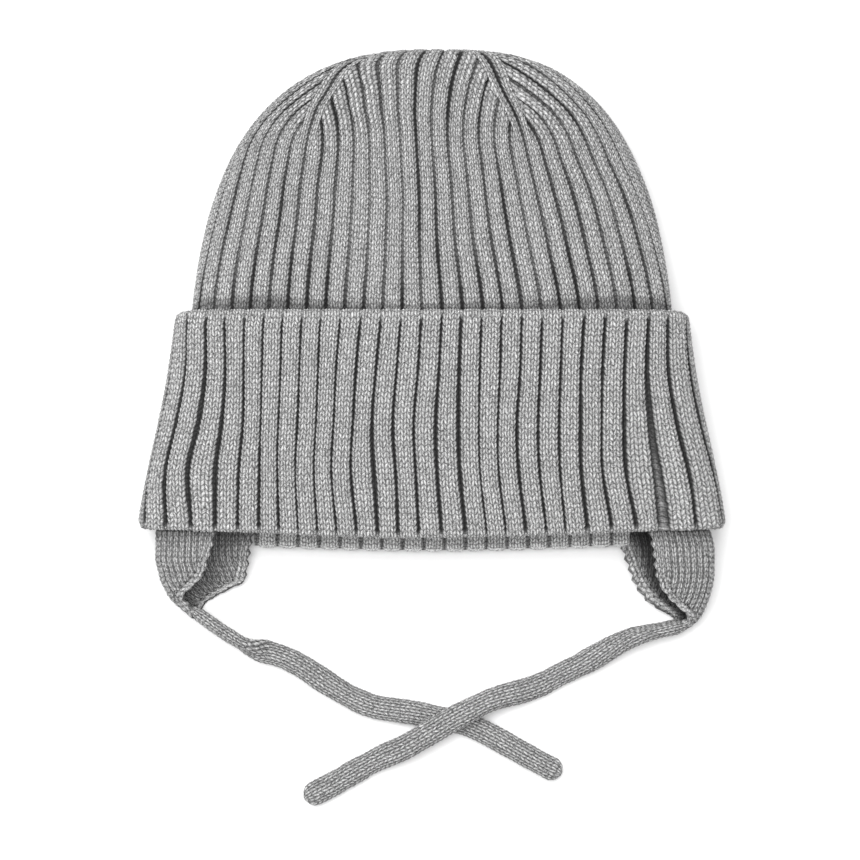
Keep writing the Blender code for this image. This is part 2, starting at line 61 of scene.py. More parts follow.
# Ties.
# Two narrow knitted cords of the hat's own yarn, drawn out of the flaps' tips. They lie flat on the surface, cross
# each other and end in a rounded cast-off edge. Each leaves its flap on edge and turns flat on its way.
TIE_WIDTH = 0.0088
TIE_THICKNESS = 0.0044
TIE_GAP = 0.0003
TIE_ROOT = 0.0030  # how far it reaches back into the flap's tip
TIE_EDGE = {
    "left": {"tilt": 80, "hold": 0.0225, "turn": 0.012},
    "right": {"tilt": 76, "hold": 0.007, "turn": 0.042},
}
CROSSING_XY = (0.0065, -0.1084)
CROSSING_FLAT = 0.0115
CROSSING_RAMP = 0.024
LEFT_ROUTE = (
    (-0.0846, -0.0701), (-0.0810, -0.0727), (-0.0763, -0.0760), (-0.0706, -0.0796), (-0.0655, -0.0823),
    (-0.0598, -0.0839), (-0.0533, -0.0860), (-0.0468, -0.0893), (-0.0403, -0.0936), (-0.0338, -0.0977),
    (-0.0274, -0.1012), (-0.0209, -0.1037), (-0.0144, -0.1048), (-0.0072, -0.1058), (0.0000, -0.1071),
    (0.0065, -0.1084), (0.0130, -0.1103), (0.0202, -0.1136), (0.0288, -0.1183), (0.0374, -0.1231),
    (0.0469, -0.1281),
)
RIGHT_ROUTE = (
    (0.0889, -0.0746), (0.0850, -0.0755), (0.0785, -0.0769), (0.0720, -0.0788), (0.0655, -0.0819),
    (0.0590, -0.0857), (0.0526, -0.0891), (0.0461, -0.0922), (0.0396, -0.0956), (0.0331, -0.0979),
    (0.0266, -0.0995), (0.0202, -0.1015), (0.0130, -0.1051), (0.0065, -0.1085), (-0.0014, -0.1132),
    (-0.0101, -0.1183), (-0.0187, -0.1222), (-0.0274, -0.1269), (-0.0360, -0.1318), (-0.0462, -0.1371),
)

STITCH = 0.0019  # height of a row of knit
V_SLOPE = 0.72  # how far a stitch's foot hangs under its shoulders, in rows


def smoothstep(value):
    """0 below 0, 1 above 1, and a smooth rise between."""
    value = np.clip(value, 0.0, 1.0)
    return value * value * (3 - 2 * value)


SEED_WEIGHT = 37.719
PLACE_WEIGHTS = (12.9898, 78.233)
JITTER_SCALE = 43758.5453


def jitter(seed, *places):
    """Repeatable noise from -1 to 1, a value for each whole-numbered place."""
    mixed = seed * SEED_WEIGHT
    for weight, place in zip(PLACE_WEIGHTS, places):
        mixed = mixed + weight * np.asarray(place, float)
    return 2 * np.mod(np.sin(mixed) * JITTER_SCALE, 1.0) - 1


def wander(seed, at, wavelength):
    """Smooth noise from about -1 to 1 along a line."""
    at = np.asarray(at, float) / wavelength
    low = np.floor(at)
    step = smoothstep(at - low)
    return jitter(seed, low) * (1 - step) + jitter(seed, low + 1) * step


def unit(vectors):
    """The vectors' directions, each of length one."""
    return vectors / np.maximum(np.linalg.norm(vectors, axis=-1, keepdims=True), 1e-12)


LEG_HOLLOW = 0.00036  # how much deeper knit lies between two legs than on them
ROW_HOLLOW = 0.00030  # and between two rows
FOOT_HOLLOW = 0.00030  # and in the corner at a stitch's foot


def leg_relief(legs, rows):
    """How far knit lies under its highest places: a V stitch is two legs, and each is a small bulging cell."""
    side = np.cos(np.pi * legs) ** 2
    foot = side * np.cos(np.pi * legs / 2 + np.pi / 2) ** 2
    end = np.cos(np.pi * rows) ** 2
    return LEG_HOLLOW * side + ROW_HOLLOW * end + FOOT_HOLLOW * foot * end


def v_rows(legs):
    """How far a row line hangs down at each leg boundary: at the middle of a V it hangs lowest."""
    return -V_SLOPE * (1 - np.abs(np.mod(legs, 2.0) - 1.0))


class Knit:
    """Gathers rows of points into one closed piece of knit, with its stitch coordinates and the painted shade of
    each point.
    """

    def __init__(self):
        self.points, self.hollows, self.faces, self.stitches = [], [], [], []

    def rows(self, points, legs, courses, hollows, merged=None, closed=True):
        """Adds a grid of rows and the quads between them. Returns the numbers of its points."""
        high, wide = points.shape[:2]
        first = sum(len(block) for block in self.points)
        numbers = first + np.arange(high * wide).reshape(high, wide)
        if merged is not None:
            numbers = np.where(merged >= 0, first + merged + wide * np.arange(high)[:, None], numbers)
        self.points.append(points.reshape(-1, 3))
        self.hollows.append(np.broadcast_to(hollows, (high, wide)).ravel())
        legs = np.broadcast_to(legs, (high, wide))
        courses = np.broadcast_to(np.reshape(courses, (high, -1)), (high, wide))
        last = wide if closed else wide - 1
        here, after = np.arange(last), np.arange(1, last + 1) % wide
        # where a closed row meets its start, its leg numbers run on
        run_on = np.where(after == 0, legs[0, -1] - 2 * legs[0, 0] + legs[0, 1 % wide], 0)
        for low in range(high - 1):
            self.quads(*(np.stack([grid[low, here], grid[low, after] + more, grid[low + 1, after] + more,
                                   grid[low + 1, here]], axis=1)
                         for grid, more in ((numbers, 0), (legs, run_on), (courses, 0))))
        return numbers

    def quads(self, corners, across, along):
        """Adds faces, leaving out corners that fall together and faces that vanish."""
        same = corners == np.roll(corners, 1, axis=1)
        whole = ~same.any(axis=1)
        for face, u, v in zip(corners[whole].tolist(), across[whole].tolist(), along[whole].tolist()):
            self.faces.append(face)
            self.stitches += zip(u, v)
        for face, u, v, out in zip(corners[~whole], across[~whole], along[~whole], same[~whole]):
            kept = ~out
            if kept.sum() > 2 and len(set(face[kept].tolist())) == kept.sum():
                self.faces.append(face[kept].tolist())
                self.stitches += zip(u[kept].tolist(), v[kept].tolist())

    def face(self, corners, leg=0.5):
        """A face through the corners, or none where they fall together, all at one place of a stitch."""
        kept = list(dict.fromkeys(int(corner) for corner in corners))
        if len(kept) > 2:
            self.faces.append(kept)
            self.stitches += [(leg, 0.5)] * len(kept)

    def bridge(self, low, high):
        """Faces between two closed rows of numbers, of which the second may have fewer points."""
        run = len(low) // len(high)
        for group in range(len(high)):
            wide = [low[(group * run + i) % len(low)] for i in range(run + 1)]
            self.face([*wide, high[(group + 1) % len(high)], high[group]])

    def piece(self, name, finish):
        """The finished object, without the points that no face uses."""
        points = np.concatenate(self.points)
        hollows = np.concatenate(self.hollows)
        used = np.zeros(len(points), bool)
        used[[corner for face in self.faces for corner in face]] = True
        renumber = np.cumsum(used) - 1
        data = bpy.data.meshes.new(name)
        data.from_pydata(points[used].tolist(), [], [[int(renumber[c]) for c in face] for face in self.faces])
        stitch = data.uv_layers.new(name="stitch")
        stitch.data.foreach_set("uv", np.array(self.stitches, np.float32).ravel())
        # each point's painted shade, for the yarn's colour
        hollow = data.attributes.new("hollow", "FLOAT", "POINT")
        hollow.data.foreach_set("value", hollows[used].astype(np.float32))
        mesh = bmesh.new()
        mesh.from_mesh(data)
        bmesh.ops.recalc_face_normals(mesh, faces=mesh.faces)
        mesh.to_mesh(data)
        mesh.free()
        data.materials.append(finish)
        data.shade_smooth()
        obj = bpy.data.objects.new(name, data)
        bpy.context.scene.collection.objects.link(obj)
        return obj


class Socket:
    """One socket of a material's nodes. Sums and products of sockets are written as sums and products."""

    def __init__(self, tree, link):
        self.tree, self.link = tree, link

    def node(self, kind, settings, inputs, output=0):
        made = self.tree.nodes.new(kind)
        for name, value in settings.items():
            if name == "stops":
                for stop, (at, shade) in zip((made.color_ramp.elements[0], made.color_ramp.elements[1]), value):
                    stop.position = at
                    stop.color = (shade, shade, shade, 1)
            else:
                setattr(made, name, value)
        for name, value in inputs.items():
            if isinstance(value, Socket):
                self.tree.links.new(value.link, made.inputs[name])
            else:
                made.inputs[name].default_value = value
        return Socket(self.tree, made.outputs[output])

    def maths(self, operation, *values):
        return self.node("ShaderNodeMath", {"operation": operation}, dict(enumerate(values)))

    def __add__(self, other):
        return self.maths("ADD", self, other)

    __radd__ = __add__

    def __sub__(self, other):
        return self.maths("SUBTRACT", self, other)

    def __rsub__(self, other):
        return self.maths("SUBTRACT", other, self)

    def __mul__(self, other):
        return self.maths("MULTIPLY", self, other)

    __rmul__ = __mul__

    def __pow__(self, power):
        return self.maths("POWER", self, power)

    def fract(self):
        return self.maths("FRACT", self)

    def clipped(self):
        return self.node("ShaderNodeClamp", {}, {"Value": self})

    def mixed(self, dark, light):
        """A colour between two, by this socket's value."""
        return self.node("ShaderNodeMix", {"data_type": "RGBA"}, {0: self, 6: (*dark, 1), 7: (*light, 1)}, 2)


# The yarn's light and dark fibres; the dark one is also the colour of all painted shade.
HEATHER_LIGHT = (0.90, 0.90, 0.90)
HEATHER_DARK_AND_SHADE = (0.012, 0.012, 0.012)


def yarn(name):
    """A matt heather yarn: light and dark fibres spun together, with shade in the gaps between the stitches."""
    material = bpy.data.materials.new(name)
    material.use_nodes = True
    tree = material.node_tree
    surface = tree.nodes["Principled BSDF"]
    start = Socket(tree, None)
    place = start.node("ShaderNodeTexCoord", {}, {}, output=3)
    stitch = start.node("ShaderNodeUVMap", {"uv_map": "stitch"}, {})
    hollow = start.node("ShaderNodeAttribute", {"attribute_name": "hollow"}, {}, output=2)
    legs = start.node("ShaderNodeSeparateXYZ", {}, {0: stitch}, output=0)
    rows = start.node("ShaderNodeSeparateXYZ", {}, {0: stitch}, output=1)

    # no two stitches are quite alike
    waver = start.node("ShaderNodeTexNoise", {}, {"Vector": place, "Scale": 420.0, "Detail": 1.0}) - 0.5
    across = (legs + waver * 0.55).fract()
    along = (rows - waver * 0.9).fract()
    crest = (4 * across * (1 - across)) ** 0.8 * (4 * along * (1 - along)) ** 0.6
    cell = start.node("ShaderNodeCombineXYZ", {},
                      {0: legs.maths("FLOOR", legs), 1: rows.maths("FLOOR", rows)})
    each = start.node("ShaderNodeTexWhiteNoise", {"noise_dimensions": "2D"}, {"Vector": cell})

    # the strands of a stitch slant up and out from its foot, on both legs
    foot = legs.maths("MODULO", legs + 7000, 2.0) - 1
    out_from_foot = foot.maths("ABSOLUTE", foot)
    strand = start.node("ShaderNodeCombineXYZ", {}, {0: (rows - out_from_foot * 0.5) * 4.2,
                                                     1: (rows + out_from_foot * 0.5) * 1.6,
                                                     2: legs.maths("FLOOR", legs) * 3.7})
    streaks = start.node("ShaderNodeTexNoise", {}, {"Vector": strand, "Scale": 1.0, "Detail": 2.0,
                                                    "Roughness": 0.6})
    fibres = start.node("ShaderNodeTexNoise", {}, {"Vector": place, "Scale": 2000.0, "Detail": 2.0,
                                                   "Roughness": 0.7, "Distortion": 0.8})
    flecks = start.node("ShaderNodeValToRGB", {"stops": ((0.35, 0.0), (0.61, 1.0))},
                        {"Fac": fibres * 0.6 + streaks * 0.4})
    # the colour: fibre flecks and a tone for each stitch, darkened by painted shade in the gaps between legs and
    # rows and by each point's painted shade, which below zero is painted light
    shade = (flecks * 0.85 + each * 0.15) * (0.12 + 0.88 * crest) * (1 - hollow)
    surface_colour = shade.clipped().mixed(HEATHER_DARK_AND_SHADE, HEATHER_LIGHT)
    tree.links.new(surface_colour.link, surface.inputs["Base Color"])

    relief = crest * 0.7 + fibres * 0.8 + streaks * 0.5
    bump = start.node("ShaderNodeBump", {}, {"Strength": 0.9, "Distance": 0.0004, "Height": relief})
    tree.links.new(bump.link, surface.inputs["Normal"])
    surface.inputs["Roughness"].default_value = 0.95
    surface.inputs["Specular IOR Level"].default_value = 0.1
    surface.inputs["Sheen Weight"].default_value = 0.06
    surface.inputs["Sheen Roughness"].default_value = 0.6
    return material


tie_finish = yarn("tie_yarn")


ROUTE_STEPS = 12


def smooth_route(points, spacing):
    """Points a spacing apart along a smooth curve through the route's own points, and how far along they are."""
    points = np.array(points, float)
    padded = np.concatenate([[2 * points[0] - points[1]], points, [2 * points[-1] - points[-2]]])
    fine = []
    for a, b, c, d in zip(padded, padded[1:], padded[2:], padded[3:]):
        for t in np.linspace(0, 1, ROUTE_STEPS, endpoint=False):
            fine.append(0.5 * (2 * b + (c - a) * t + (2 * a - 5 * b + 4 * c - d) * t**2
                               + (3 * b - a - 3 * c + d) * t**3))
    fine = np.array([*fine, points[-1]])
    steps = np.concatenate([[0], np.cumsum(np.linalg.norm(np.diff(fine, axis=0), axis=1))])
    at = np.linspace(0, steps[-1], max(2, round(steps[-1] / spacing)) + 1)
    return np.stack([np.interp(at, steps, fine[:, axis]) for axis in range(2)], 1), at


def tie_path(side, route, spacing):
    """The tie's middle line, how far along it each point is, and how far it is turned up on its edge."""
    start = np.array(route[0]) - np.array(route[1])
    start = np.array(route[0]) + start / np.linalg.norm(start) * TIE_ROOT
    xy, along = smooth_route([start, *route[1:]], spacing)
    edge = TIE_EDGE[side]
    tilt = math.radians(edge["tilt"]) * (1 - smoothstep((along - edge["hold"]) / edge["turn"]))
    height = TIE_GAP + TIE_THICKNESS / 2 + (TIE_WIDTH - TIE_THICKNESS) / 2 * np.sin(tilt)
    if side == "right":
        from_crossing = np.linalg.norm(xy - np.array(CROSSING_XY), axis=1)
        lifted = 1 - smoothstep((from_crossing - CROSSING_FLAT) / CROSSING_RAMP)
        height = height + (TIE_THICKNESS + TIE_GAP) * lifted
    return np.column_stack([xy, height]), along, tilt


TIE_COLUMNS = 10
TIE_SEED = {"left": 3, "right": 8}
TIE_ROUNDING = 0.0035  # length of its rounded end
TIE_WIDENING = 0.0050  # length over which it widens out of the flap's tip
TIE_LAG = 1.2
TIE_RELIEF = 0.8
TIE_SWELL = 0.00012
# painted shade between the cord's columns
TIE_GROOVE_PAINTED_SHADE = 0.35
TIE_LEAST_Z = 0.0002


def tie(side, route):
    """A tie as a tube of V stitches that run along it, with a rounded end."""
    seed = TIE_SEED[side]
    path, along, tilt = tie_path(side, route, STITCH / 2)
    ahead = unit(np.gradient(path, axis=0))
    level = unit(np.cross([0, 0, 1], ahead))
    up = np.cross(ahead, level)
    wide = level * np.cos(tilt)[:, None] + up * np.sin(tilt)[:, None]
    thick = np.cross(ahead, wide)

    legs = np.arange(0, 2 * TIE_COLUMNS, 0.5)
    rows = np.arange(len(path)) / 2
    straight = (TIE_WIDTH - TIE_THICKNESS) / 2
    radius = TIE_THICKNESS / 2
    girth = 4 * straight + 2 * math.pi * radius
    around = legs / (2 * TIE_COLUMNS) * girth
    # round the flat cord: along its top, round one edge, back under it, round the other edge
    corner = np.array([0, 2 * straight, 2 * straight + math.pi * radius, 4 * straight + math.pi * radius])
    turn = np.interp(around, [*corner, girth], [0, 0, math.pi, math.pi, 2 * math.pi])
    out = np.interp(around, [*corner, girth], [-straight, straight, straight, -straight, -straight])
    from_end = along[-1] - along
    taper = np.sqrt(np.clip(1 - (1 - np.clip(from_end / TIE_ROUNDING, 0, 1)) ** 2, 0.02, 1))
    taper = taper * (0.6 + 0.4 * smoothstep(along / TIE_WIDENING))
    loose = 1 + 0.06 * wander(seed, along, 0.009) + 0.03 * wander(seed + 1, along, 0.0025)
    relief = TIE_RELIEF * leg_relief(legs[None, :], rows[:, None]) - TIE_SWELL
    reach = (radius - relief) * loose[:, None]
    x = (out[None, :] * loose[:, None] + reach * np.sin(turn)[None, :]) * taper[:, None]
    z = reach * np.cos(turn)[None, :] * taper[:, None]
    lag = v_rows(legs) * STITCH * TIE_LAG
    inside_ends = np.clip(np.minimum(along, from_end) / 0.004, 0, 1)
    points = (path[:, None, :] + wide[:, None, :] * x[..., None] + thick[:, None, :] * z[..., None]
              + ahead[:, None, :] * (lag[None, :] * inside_ends[:, None])[..., None])
    points[..., 2] = np.maximum(points[..., 2], TIE_LEAST_Z)
    knit = Knit()
    numbers = knit.rows(points, legs, rows, TIE_GROOVE_PAINTED_SHADE * np.cos(np.pi * legs[None, :]) ** 2)
    knit.face(numbers[0][::-1])
    knit.face(numbers[-1])
    piece = knit.piece(f"tie_{side}_knit", tie_finish)
    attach(piece, "root")
    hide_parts(f"tie_{side}")
    path[::4].tolist() + [path[-1].tolist()]


tie("left", LEFT_ROUTE)
tie("right", RIGHT_ROUTE)


# Crown.
# The body of the hat, knitted as one tube in a rib of three plain columns and one sunk one, narrowed along four
# lines towards a small closing that has rolled over on to the back. It runs down inside the cuff to the rim.
CROWN_HALF_WIDTH = 0.0873
CROWN_RISE = 0.1300
CROWN_HALF_LOFT = 0.0135
CROWN_LEAN = 0.0027
WIDEST_Y = 0.0036
BODY_WALL = 0.0032
RIM_DROP = 0.0496
RIM_Y = WIDEST_Y - RIM_DROP
RIM_SAG = 0.0036
RIM_TUCK = 0.0100
RIM_FLARE = 0.143
FLARE_DELAY = 1.1
RIM_LOFT_LOSS = 0.2
CUFF_TOP_Y = 0.0396
CUFF_EDGE = CUFF_TOP_Y - RIM_Y  # its top edge, as a length up the hat from the rim's line
CUFF_STACK = 0.0041
DROP_LENGTH = 0.025
RIB_COUNT = 56
QUARTER_RIBS = 14.0
HALF_PANEL = 7.0
SEAM_OFFSET = -0.5
BAND = 0.5  # ribs that run on along each side of a narrowing line
RIB_DEPTH = 0.0016
LAST_RIBS = 0.2
NARROWING_START = 0.63
NARROWING_EASE = 0.3
OUTLINE_EXPONENT = 2.65
FRONT_EXPONENT = 2.6
BACK_EXPONENT = 5.0
TOP_TILT = math.radians(34)
TOP_TILT_POWER = 5
# The four panels between the narrowing lines, on the way up from the widest place to the closing: half the width
# of the front and the back one, and how far all are turned, both in quarters.
PANEL_RISES, FRONT_SHARES, PANEL_TURNS = zip(
    (0.00, 0.500, -0.004),
    (0.24, 0.500, -0.014),
    (0.43, 0.508, -0.040),
    (0.57, 0.520, -0.050),
    (0.65, 0.513, -0.055),
    (0.73, 0.484, -0.059),
    (0.80, 0.450, -0.070),
    (0.88, 0.434, -0.084),
    (1.00, 0.340, -0.030),
)
# The crown's ribs sway to the right, in ribs: at heights above the cuff's edge, and at places across the front.
SWAY_PLACES = (-20, -12.5, -7.5, -3.5, -0.5, 2.5, 6.5, 9.5, 12.5, 20)
SWAY_HEIGHTS, CROWN_SWAYS = zip(
    (-0.0600, (0, 0, 0, 0, 0, 0, 0, 0, 0, 0)),
    (0.0050, (0, -0.35, -0.14, 0.05, 0.18, 0.52, 0.73, 0.88, 1.00, 0)),
    (0.0166, (0, -0.05, 0.13, 0.33, 0.25, 0.44, 0.57, 0.78, 0.95, 0)),
    (0.0281, (0, 0.26, 0.41, 0.48, 0.30, 0.29, 0.39, 0.65, 0.80, 0)),
    (0.0396, (0, 0.45, 0.53, 0.56, 0.32, 0.18, 0.05, 0.40, 0.50, 0)),
    (0.0518, (0, 0.45, 0.56, 0.38, 0.25, 0.12, -0.15, 0.00, 0.15, 0)),
    (0.0710, (0, 0, 0, 0, 0, 0, 0, 0, 0, 0)),
)


def smooth_between(keys, values, at):
    """Values that are given at a few keys, read smoothly at places between them."""
    keys, values = np.array(keys, float), np.array(values, float)
    slopes = np.gradient(values, keys)
    at = np.clip(at, keys[0], keys[-1])
    low = np.clip(np.searchsorted(keys, at, side="right") - 1, 0, len(keys) - 2)
    run = keys[low + 1] - keys[low]
    t = (at - keys[low]) / run
    return ((2 * t**3 - 3 * t**2 + 1) * values[low] + (t**3 - 2 * t**2 + t) * run * slopes[low]
            + (3 * t**2 - 2 * t**3) * values[low + 1] + (t**3 - t**2) * run * slopes[low + 1])


def across_front(heights, places, levels, ribs, at):
    """Values at ribs across the front and at heights, from values at a few places on a level for each height."""
    found = 0.0
    for number, values in enumerate(levels):
        share = smooth_between(heights, np.arange(len(heights)) == number, at)
        found = found + share * np.interp(ribs, places, values)
    return found


def down_cuff(y):
    """0 at the cuff's top edge and above it, 1 at the rim."""
    return np.clip((CUFF_TOP_Y - y) / CUFF_EDGE, 0.0, 1.0)


def flare(y):
    return 1 + RIM_FLARE * smoothstep(down_cuff(y) ** FLARE_DELAY)


def half_loft(y):
    return CROWN_HALF_LOFT * (1 - RIM_LOFT_LOSS * smoothstep(down_cuff(y)))


def body_half_width(y):
    rise = np.clip((y - WIDEST_Y) / CROWN_RISE, 0.0, 1.0)
    return CROWN_HALF_WIDTH * (1 - rise**OUTLINE_EXPONENT) ** (1 / OUTLINE_EXPONENT) * flare(y)


def pillow(across, along, through):
    """Scales directions on to the unit pillow shape of the lying hat."""
    power = np.where(through >= 0, FRONT_EXPONENT, BACK_EXPONENT)
    sides = np.abs(across) ** OUTLINE_EXPONENT + np.abs(along) ** OUTLINE_EXPONENT
    scale = (sides ** (power / OUTLINE_EXPONENT) + np.abs(through) ** power) ** (-1 / power)
    return across * scale, along * scale, through * scale


def spaced_ring(points, count):
    """Each quarter of a ring of points, spaced evenly along its own length."""
    spaced = []
    for quarter in points:
        lengths = np.concatenate([[0], np.cumsum(np.linalg.norm(np.diff(quarter, axis=0), axis=1))])
        at = np.linspace(0, lengths[-1], count, endpoint=False)
        spaced.append(np.stack([np.interp(at, lengths, quarter[:, axis]) for axis in range(3)], axis=1))
    return np.concatenate(spaced)


RING_TURN = np.linspace(0, math.pi / 2, 240)
RING_ANGLE = np.stack([math.pi / 2 - RING_TURN, -RING_TURN, -math.pi / 2 - RING_TURN, math.pi - RING_TURN])
RING_COUNT = 200


def level_ring(y, width, loft, base):
    """A level ring: half its width, half its height, and the height of its back."""
    across, _, through = pillow(np.cos(RING_ANGLE), 0 * RING_ANGLE, np.sin(RING_ANGLE))
    points = np.stack([width * across, np.full_like(across, y), base + loft * (1 + through)], axis=-1)
    return spaced_ring(points, RING_COUNT)


POLAR = np.linspace(math.pi / 2, 0, 2000)
POLAR_TILT = TOP_TILT * np.cos(POLAR) ** TOP_TILT_POWER
_, polar_along, polar_through = pillow(0 * POLAR, np.cos(POLAR - POLAR_TILT), np.sin(POLAR - POLAR_TILT))
polar_run = np.concatenate([[0], np.cumsum(np.hypot(np.diff(polar_along) * CROWN_RISE,
                                                    np.diff(polar_through) * CROWN_HALF_LOFT))])
RISE_LENGTH = float(polar_run[-1])


def crown_ring(rise):
    """A ring of the crown, level at the widest place and tilted more and more towards the closing."""
    polar = float(np.interp(rise * RISE_LENGTH, polar_run, POLAR))
    tilt = TOP_TILT * math.cos(polar) ** TOP_TILT_POWER
    up, out = math.cos(polar), math.sin(polar) * np.sin(RING_ANGLE)
    along = np.maximum(up * math.cos(tilt) + out * math.sin(tilt), 0)
    through = out * math.cos(tilt) - up * math.sin(tilt)
    across, along, through = pillow(math.sin(polar) * np.cos(RING_ANGLE), along, through)
    y = WIDEST_Y + CROWN_RISE * along
    base = CUFF_STACK * (1 - smoothstep((y.min() - CUFF_TOP_Y) / DROP_LENGTH))
    points = np.stack([CROWN_HALF_WIDTH * flare(y) * across + CROWN_LEAN * along**6, y,
                       base + half_loft(y) * (1 + through)], axis=-1)
    return spaced_ring(points, RING_COUNT)


class Form:
    """A smooth surface through evenly spaced rings, read at a height from 0 to 1 and at quarters round it."""

    def __init__(self, rings):
        self.rings = np.array(rings)
        round_it = np.roll(self.rings, -1, axis=1) - np.roll(self.rings, 1, axis=1)
        self.normals = unit(np.cross(round_it, np.gradient(self.rings, axis=0)))

    def at(self, height, quarters, depth):
        """Points at a depth under the surface."""
        high, wide = self.rings.shape[:2]
        row = np.clip(height, 0, 1) * (high - 1)
        place = np.mod(quarters, 4.0) / 4 * wide
        low, left = np.minimum(row.astype(int), high - 2), np.floor(place).astype(int) % wide
        up, right = (row - low)[..., None], (place - np.floor(place))[..., None]
        found = []
        for grid in (self.rings, self.normals):
            bottom = grid[low, left] * (1 - right) + grid[low, (left + 1) % wide] * right
            top = grid[low + 1, left] * (1 - right) + grid[low + 1, (left + 1) % wide] * right
            found.append(bottom * (1 - up) + top * up)
        return found[0] - unit(found[1]) * np.asarray(depth)[..., None]


RIM_RINGS = 60
CROWN_RINGS = 180
FORM_END = 0.99
body_form = Form(
    [level_ring(y, body_half_width(y), half_loft(y), CUFF_STACK) for y in np.linspace(RIM_Y, WIDEST_Y, RIM_RINGS)]
    + [crown_ring(rise) for rise in np.arange(1, CROWN_RINGS + 1) / CROWN_RINGS * FORM_END])


def body_at(length, quarters, depth):
    """Points at a depth under the hat's body, at a length up it from the rim's line."""
    below = np.clip(length / RIM_DROP, 0, 1) * (RIM_RINGS - 1)
    above = np.clip((length - RIM_DROP) / (RISE_LENGTH * FORM_END), 0, 1) * CROWN_RINGS
    return body_form.at((below + above) / (len(body_form.rings) - 1), quarters, depth)


def narrowed(ribs, rise):
    """Where ribs lie at a rise, in quarters, and which of them the narrowing has taken away by then."""
    value = np.clip((rise - NARROWING_START) / (1 - NARROWING_START), 0, 1)
    eased = np.where(value < NARROWING_EASE, value * value / (2 * NARROWING_EASE), value - NARROWING_EASE / 2)
    left = 1 - (1 - LAST_RIBS) * eased / (1 - NARROWING_EASE / 2)
    panel = np.floor((ribs - SEAM_OFFSET + HALF_PANEL) / (2 * HALF_PANEL))
    from_middle = ribs - (SEAM_OFFSET + panel * 2 * HALF_PANEL)
    reach = HALF_PANEL * left
    inner = reach - BAND
    in_band = np.abs(from_middle) >= HALF_PANEL - BAND - 1e-9
    kept = np.where(in_band, reach - (HALF_PANEL - np.abs(from_middle)), np.minimum(np.abs(from_middle), inner))
    gone = ~in_band & (np.abs(from_middle) > inner)
    front_share = smooth_between(PANEL_RISES, FRONT_SHARES, rise)
    half_share = np.where(np.mod(panel, 2) == 0, front_share, 1 - front_share)
    quarters = SEAM_OFFSET / QUARTER_RIBS + panel + np.sign(from_middle) * kept / reach * half_share
    return quarters + smooth_between(PANEL_RISES, PANEL_TURNS, rise), gone


# A rib's columns: from the middle of the sunk one over six legs, each with its middle, to the last leg's edge.
RIB_LEGS = np.arange(-0.5, 6.01, 0.5)
CREST_LEG = 3.0
LEGS_TO_RIB = 7.0


def rib_columns():
    """The columns round the rib knit: the leg in a rib, the rib, and the leg's number round the hat."""
    rib = np.repeat(np.arange(RIB_COUNT), len(RIB_LEGS)) - RIB_COUNT // 2
    legs = np.tile(RIB_LEGS, RIB_COUNT)
    return legs, rib, legs + LEGS_TO_RIB * rib


def from_crest(legs):
    """0 at a rib's crest, 1 at its edges and in the groove."""
    return np.minimum(np.abs(legs - CREST_LEG) / CREST_LEG, 1.0)


def rib_places(legs, rib, left, right, sway_left=0.0, sway_right=0.0):
    """Rib numbers of the columns, for half-widths and sways of the groove on each side, as shares of a rib."""
    left, right = left + sway_left, right - sway_right
    inside = (legs - CREST_LEG) / (2 * CREST_LEG) * (1 - left - right) + (left - right) / 2
    return np.where(legs < 0, rib - 0.5 + sway_left, rib + inside)


def rib_depth(legs, sides):
    """How far a rib's columns lie under its crest, and how much painted shade they get: on its crest 0, in the
    groove 1, and between them three values for its rounded sides."""
    out = from_crest(legs)
    rounded = RIB_DEPTH * np.where(legs < 0, 1.5, 0.45 * out**4)
    return rounded, np.where(legs < 0, 1.0, np.interp(out, [0, 0.5, 0.84, 1.0], [0, *sides]))


UNEVEN_SHARE = 0.45  # of a row


def uneven_rows(rib, lengths):
    """The rows of neighbouring ribs don't quite line up: how far they are off, along the ribs."""
    return UNEVEN_SHARE * STITCH * wander(rib + 0.37, lengths, 0.02)


LOW_FADE = 0.030  # length above the cuff over which the grooves get fainter
HIGH_START = 0.055  # and the length above it where they begin to get stronger again
HIGH_FADE = 0.020


def groove_strength(groove, lengths):
    """How wide a crown groove is and how strong its painted shade, at lengths up the hat: most above the cuff
    and by the closing.
    """
    above_cuff = lengths - CUFF_EDGE
    ends = 1 - smoothstep(above_cuff / LOW_FADE) + smoothstep((above_cuff - HIGH_START) / HIGH_FADE)
    return np.clip(0.62 + 0.30 * ends + 0.38 * wander(np.mod(groove, RIB_COUNT) + 0.5, lengths, 0.04), 0.25, 1.0)


TOOTH = 0.020
UNEVEN_TOOTH = 0.016
NARROW_SLIT = 0.033
STRONG_SLIT = 0.035  # how much wider the strongest groove is


def teeth(groove, rows):
    """How far the stitches' edges stand back from a groove's middle, row by row, as a share of a rib."""
    uneven = jitter(6, np.mod(groove, RIB_COUNT), np.round(rows))
    return TOOTH * np.cos(2 * math.pi * rows) + UNEVEN_TOOTH * uneven


def crown_slit(groove, lengths):
    """Half the width of a crown groove at lengths up the hat, as a share of a rib."""
    return NARROW_SLIT + STRONG_SLIT * groove_strength(groove, lengths) + teeth(groove, lengths / STITCH)


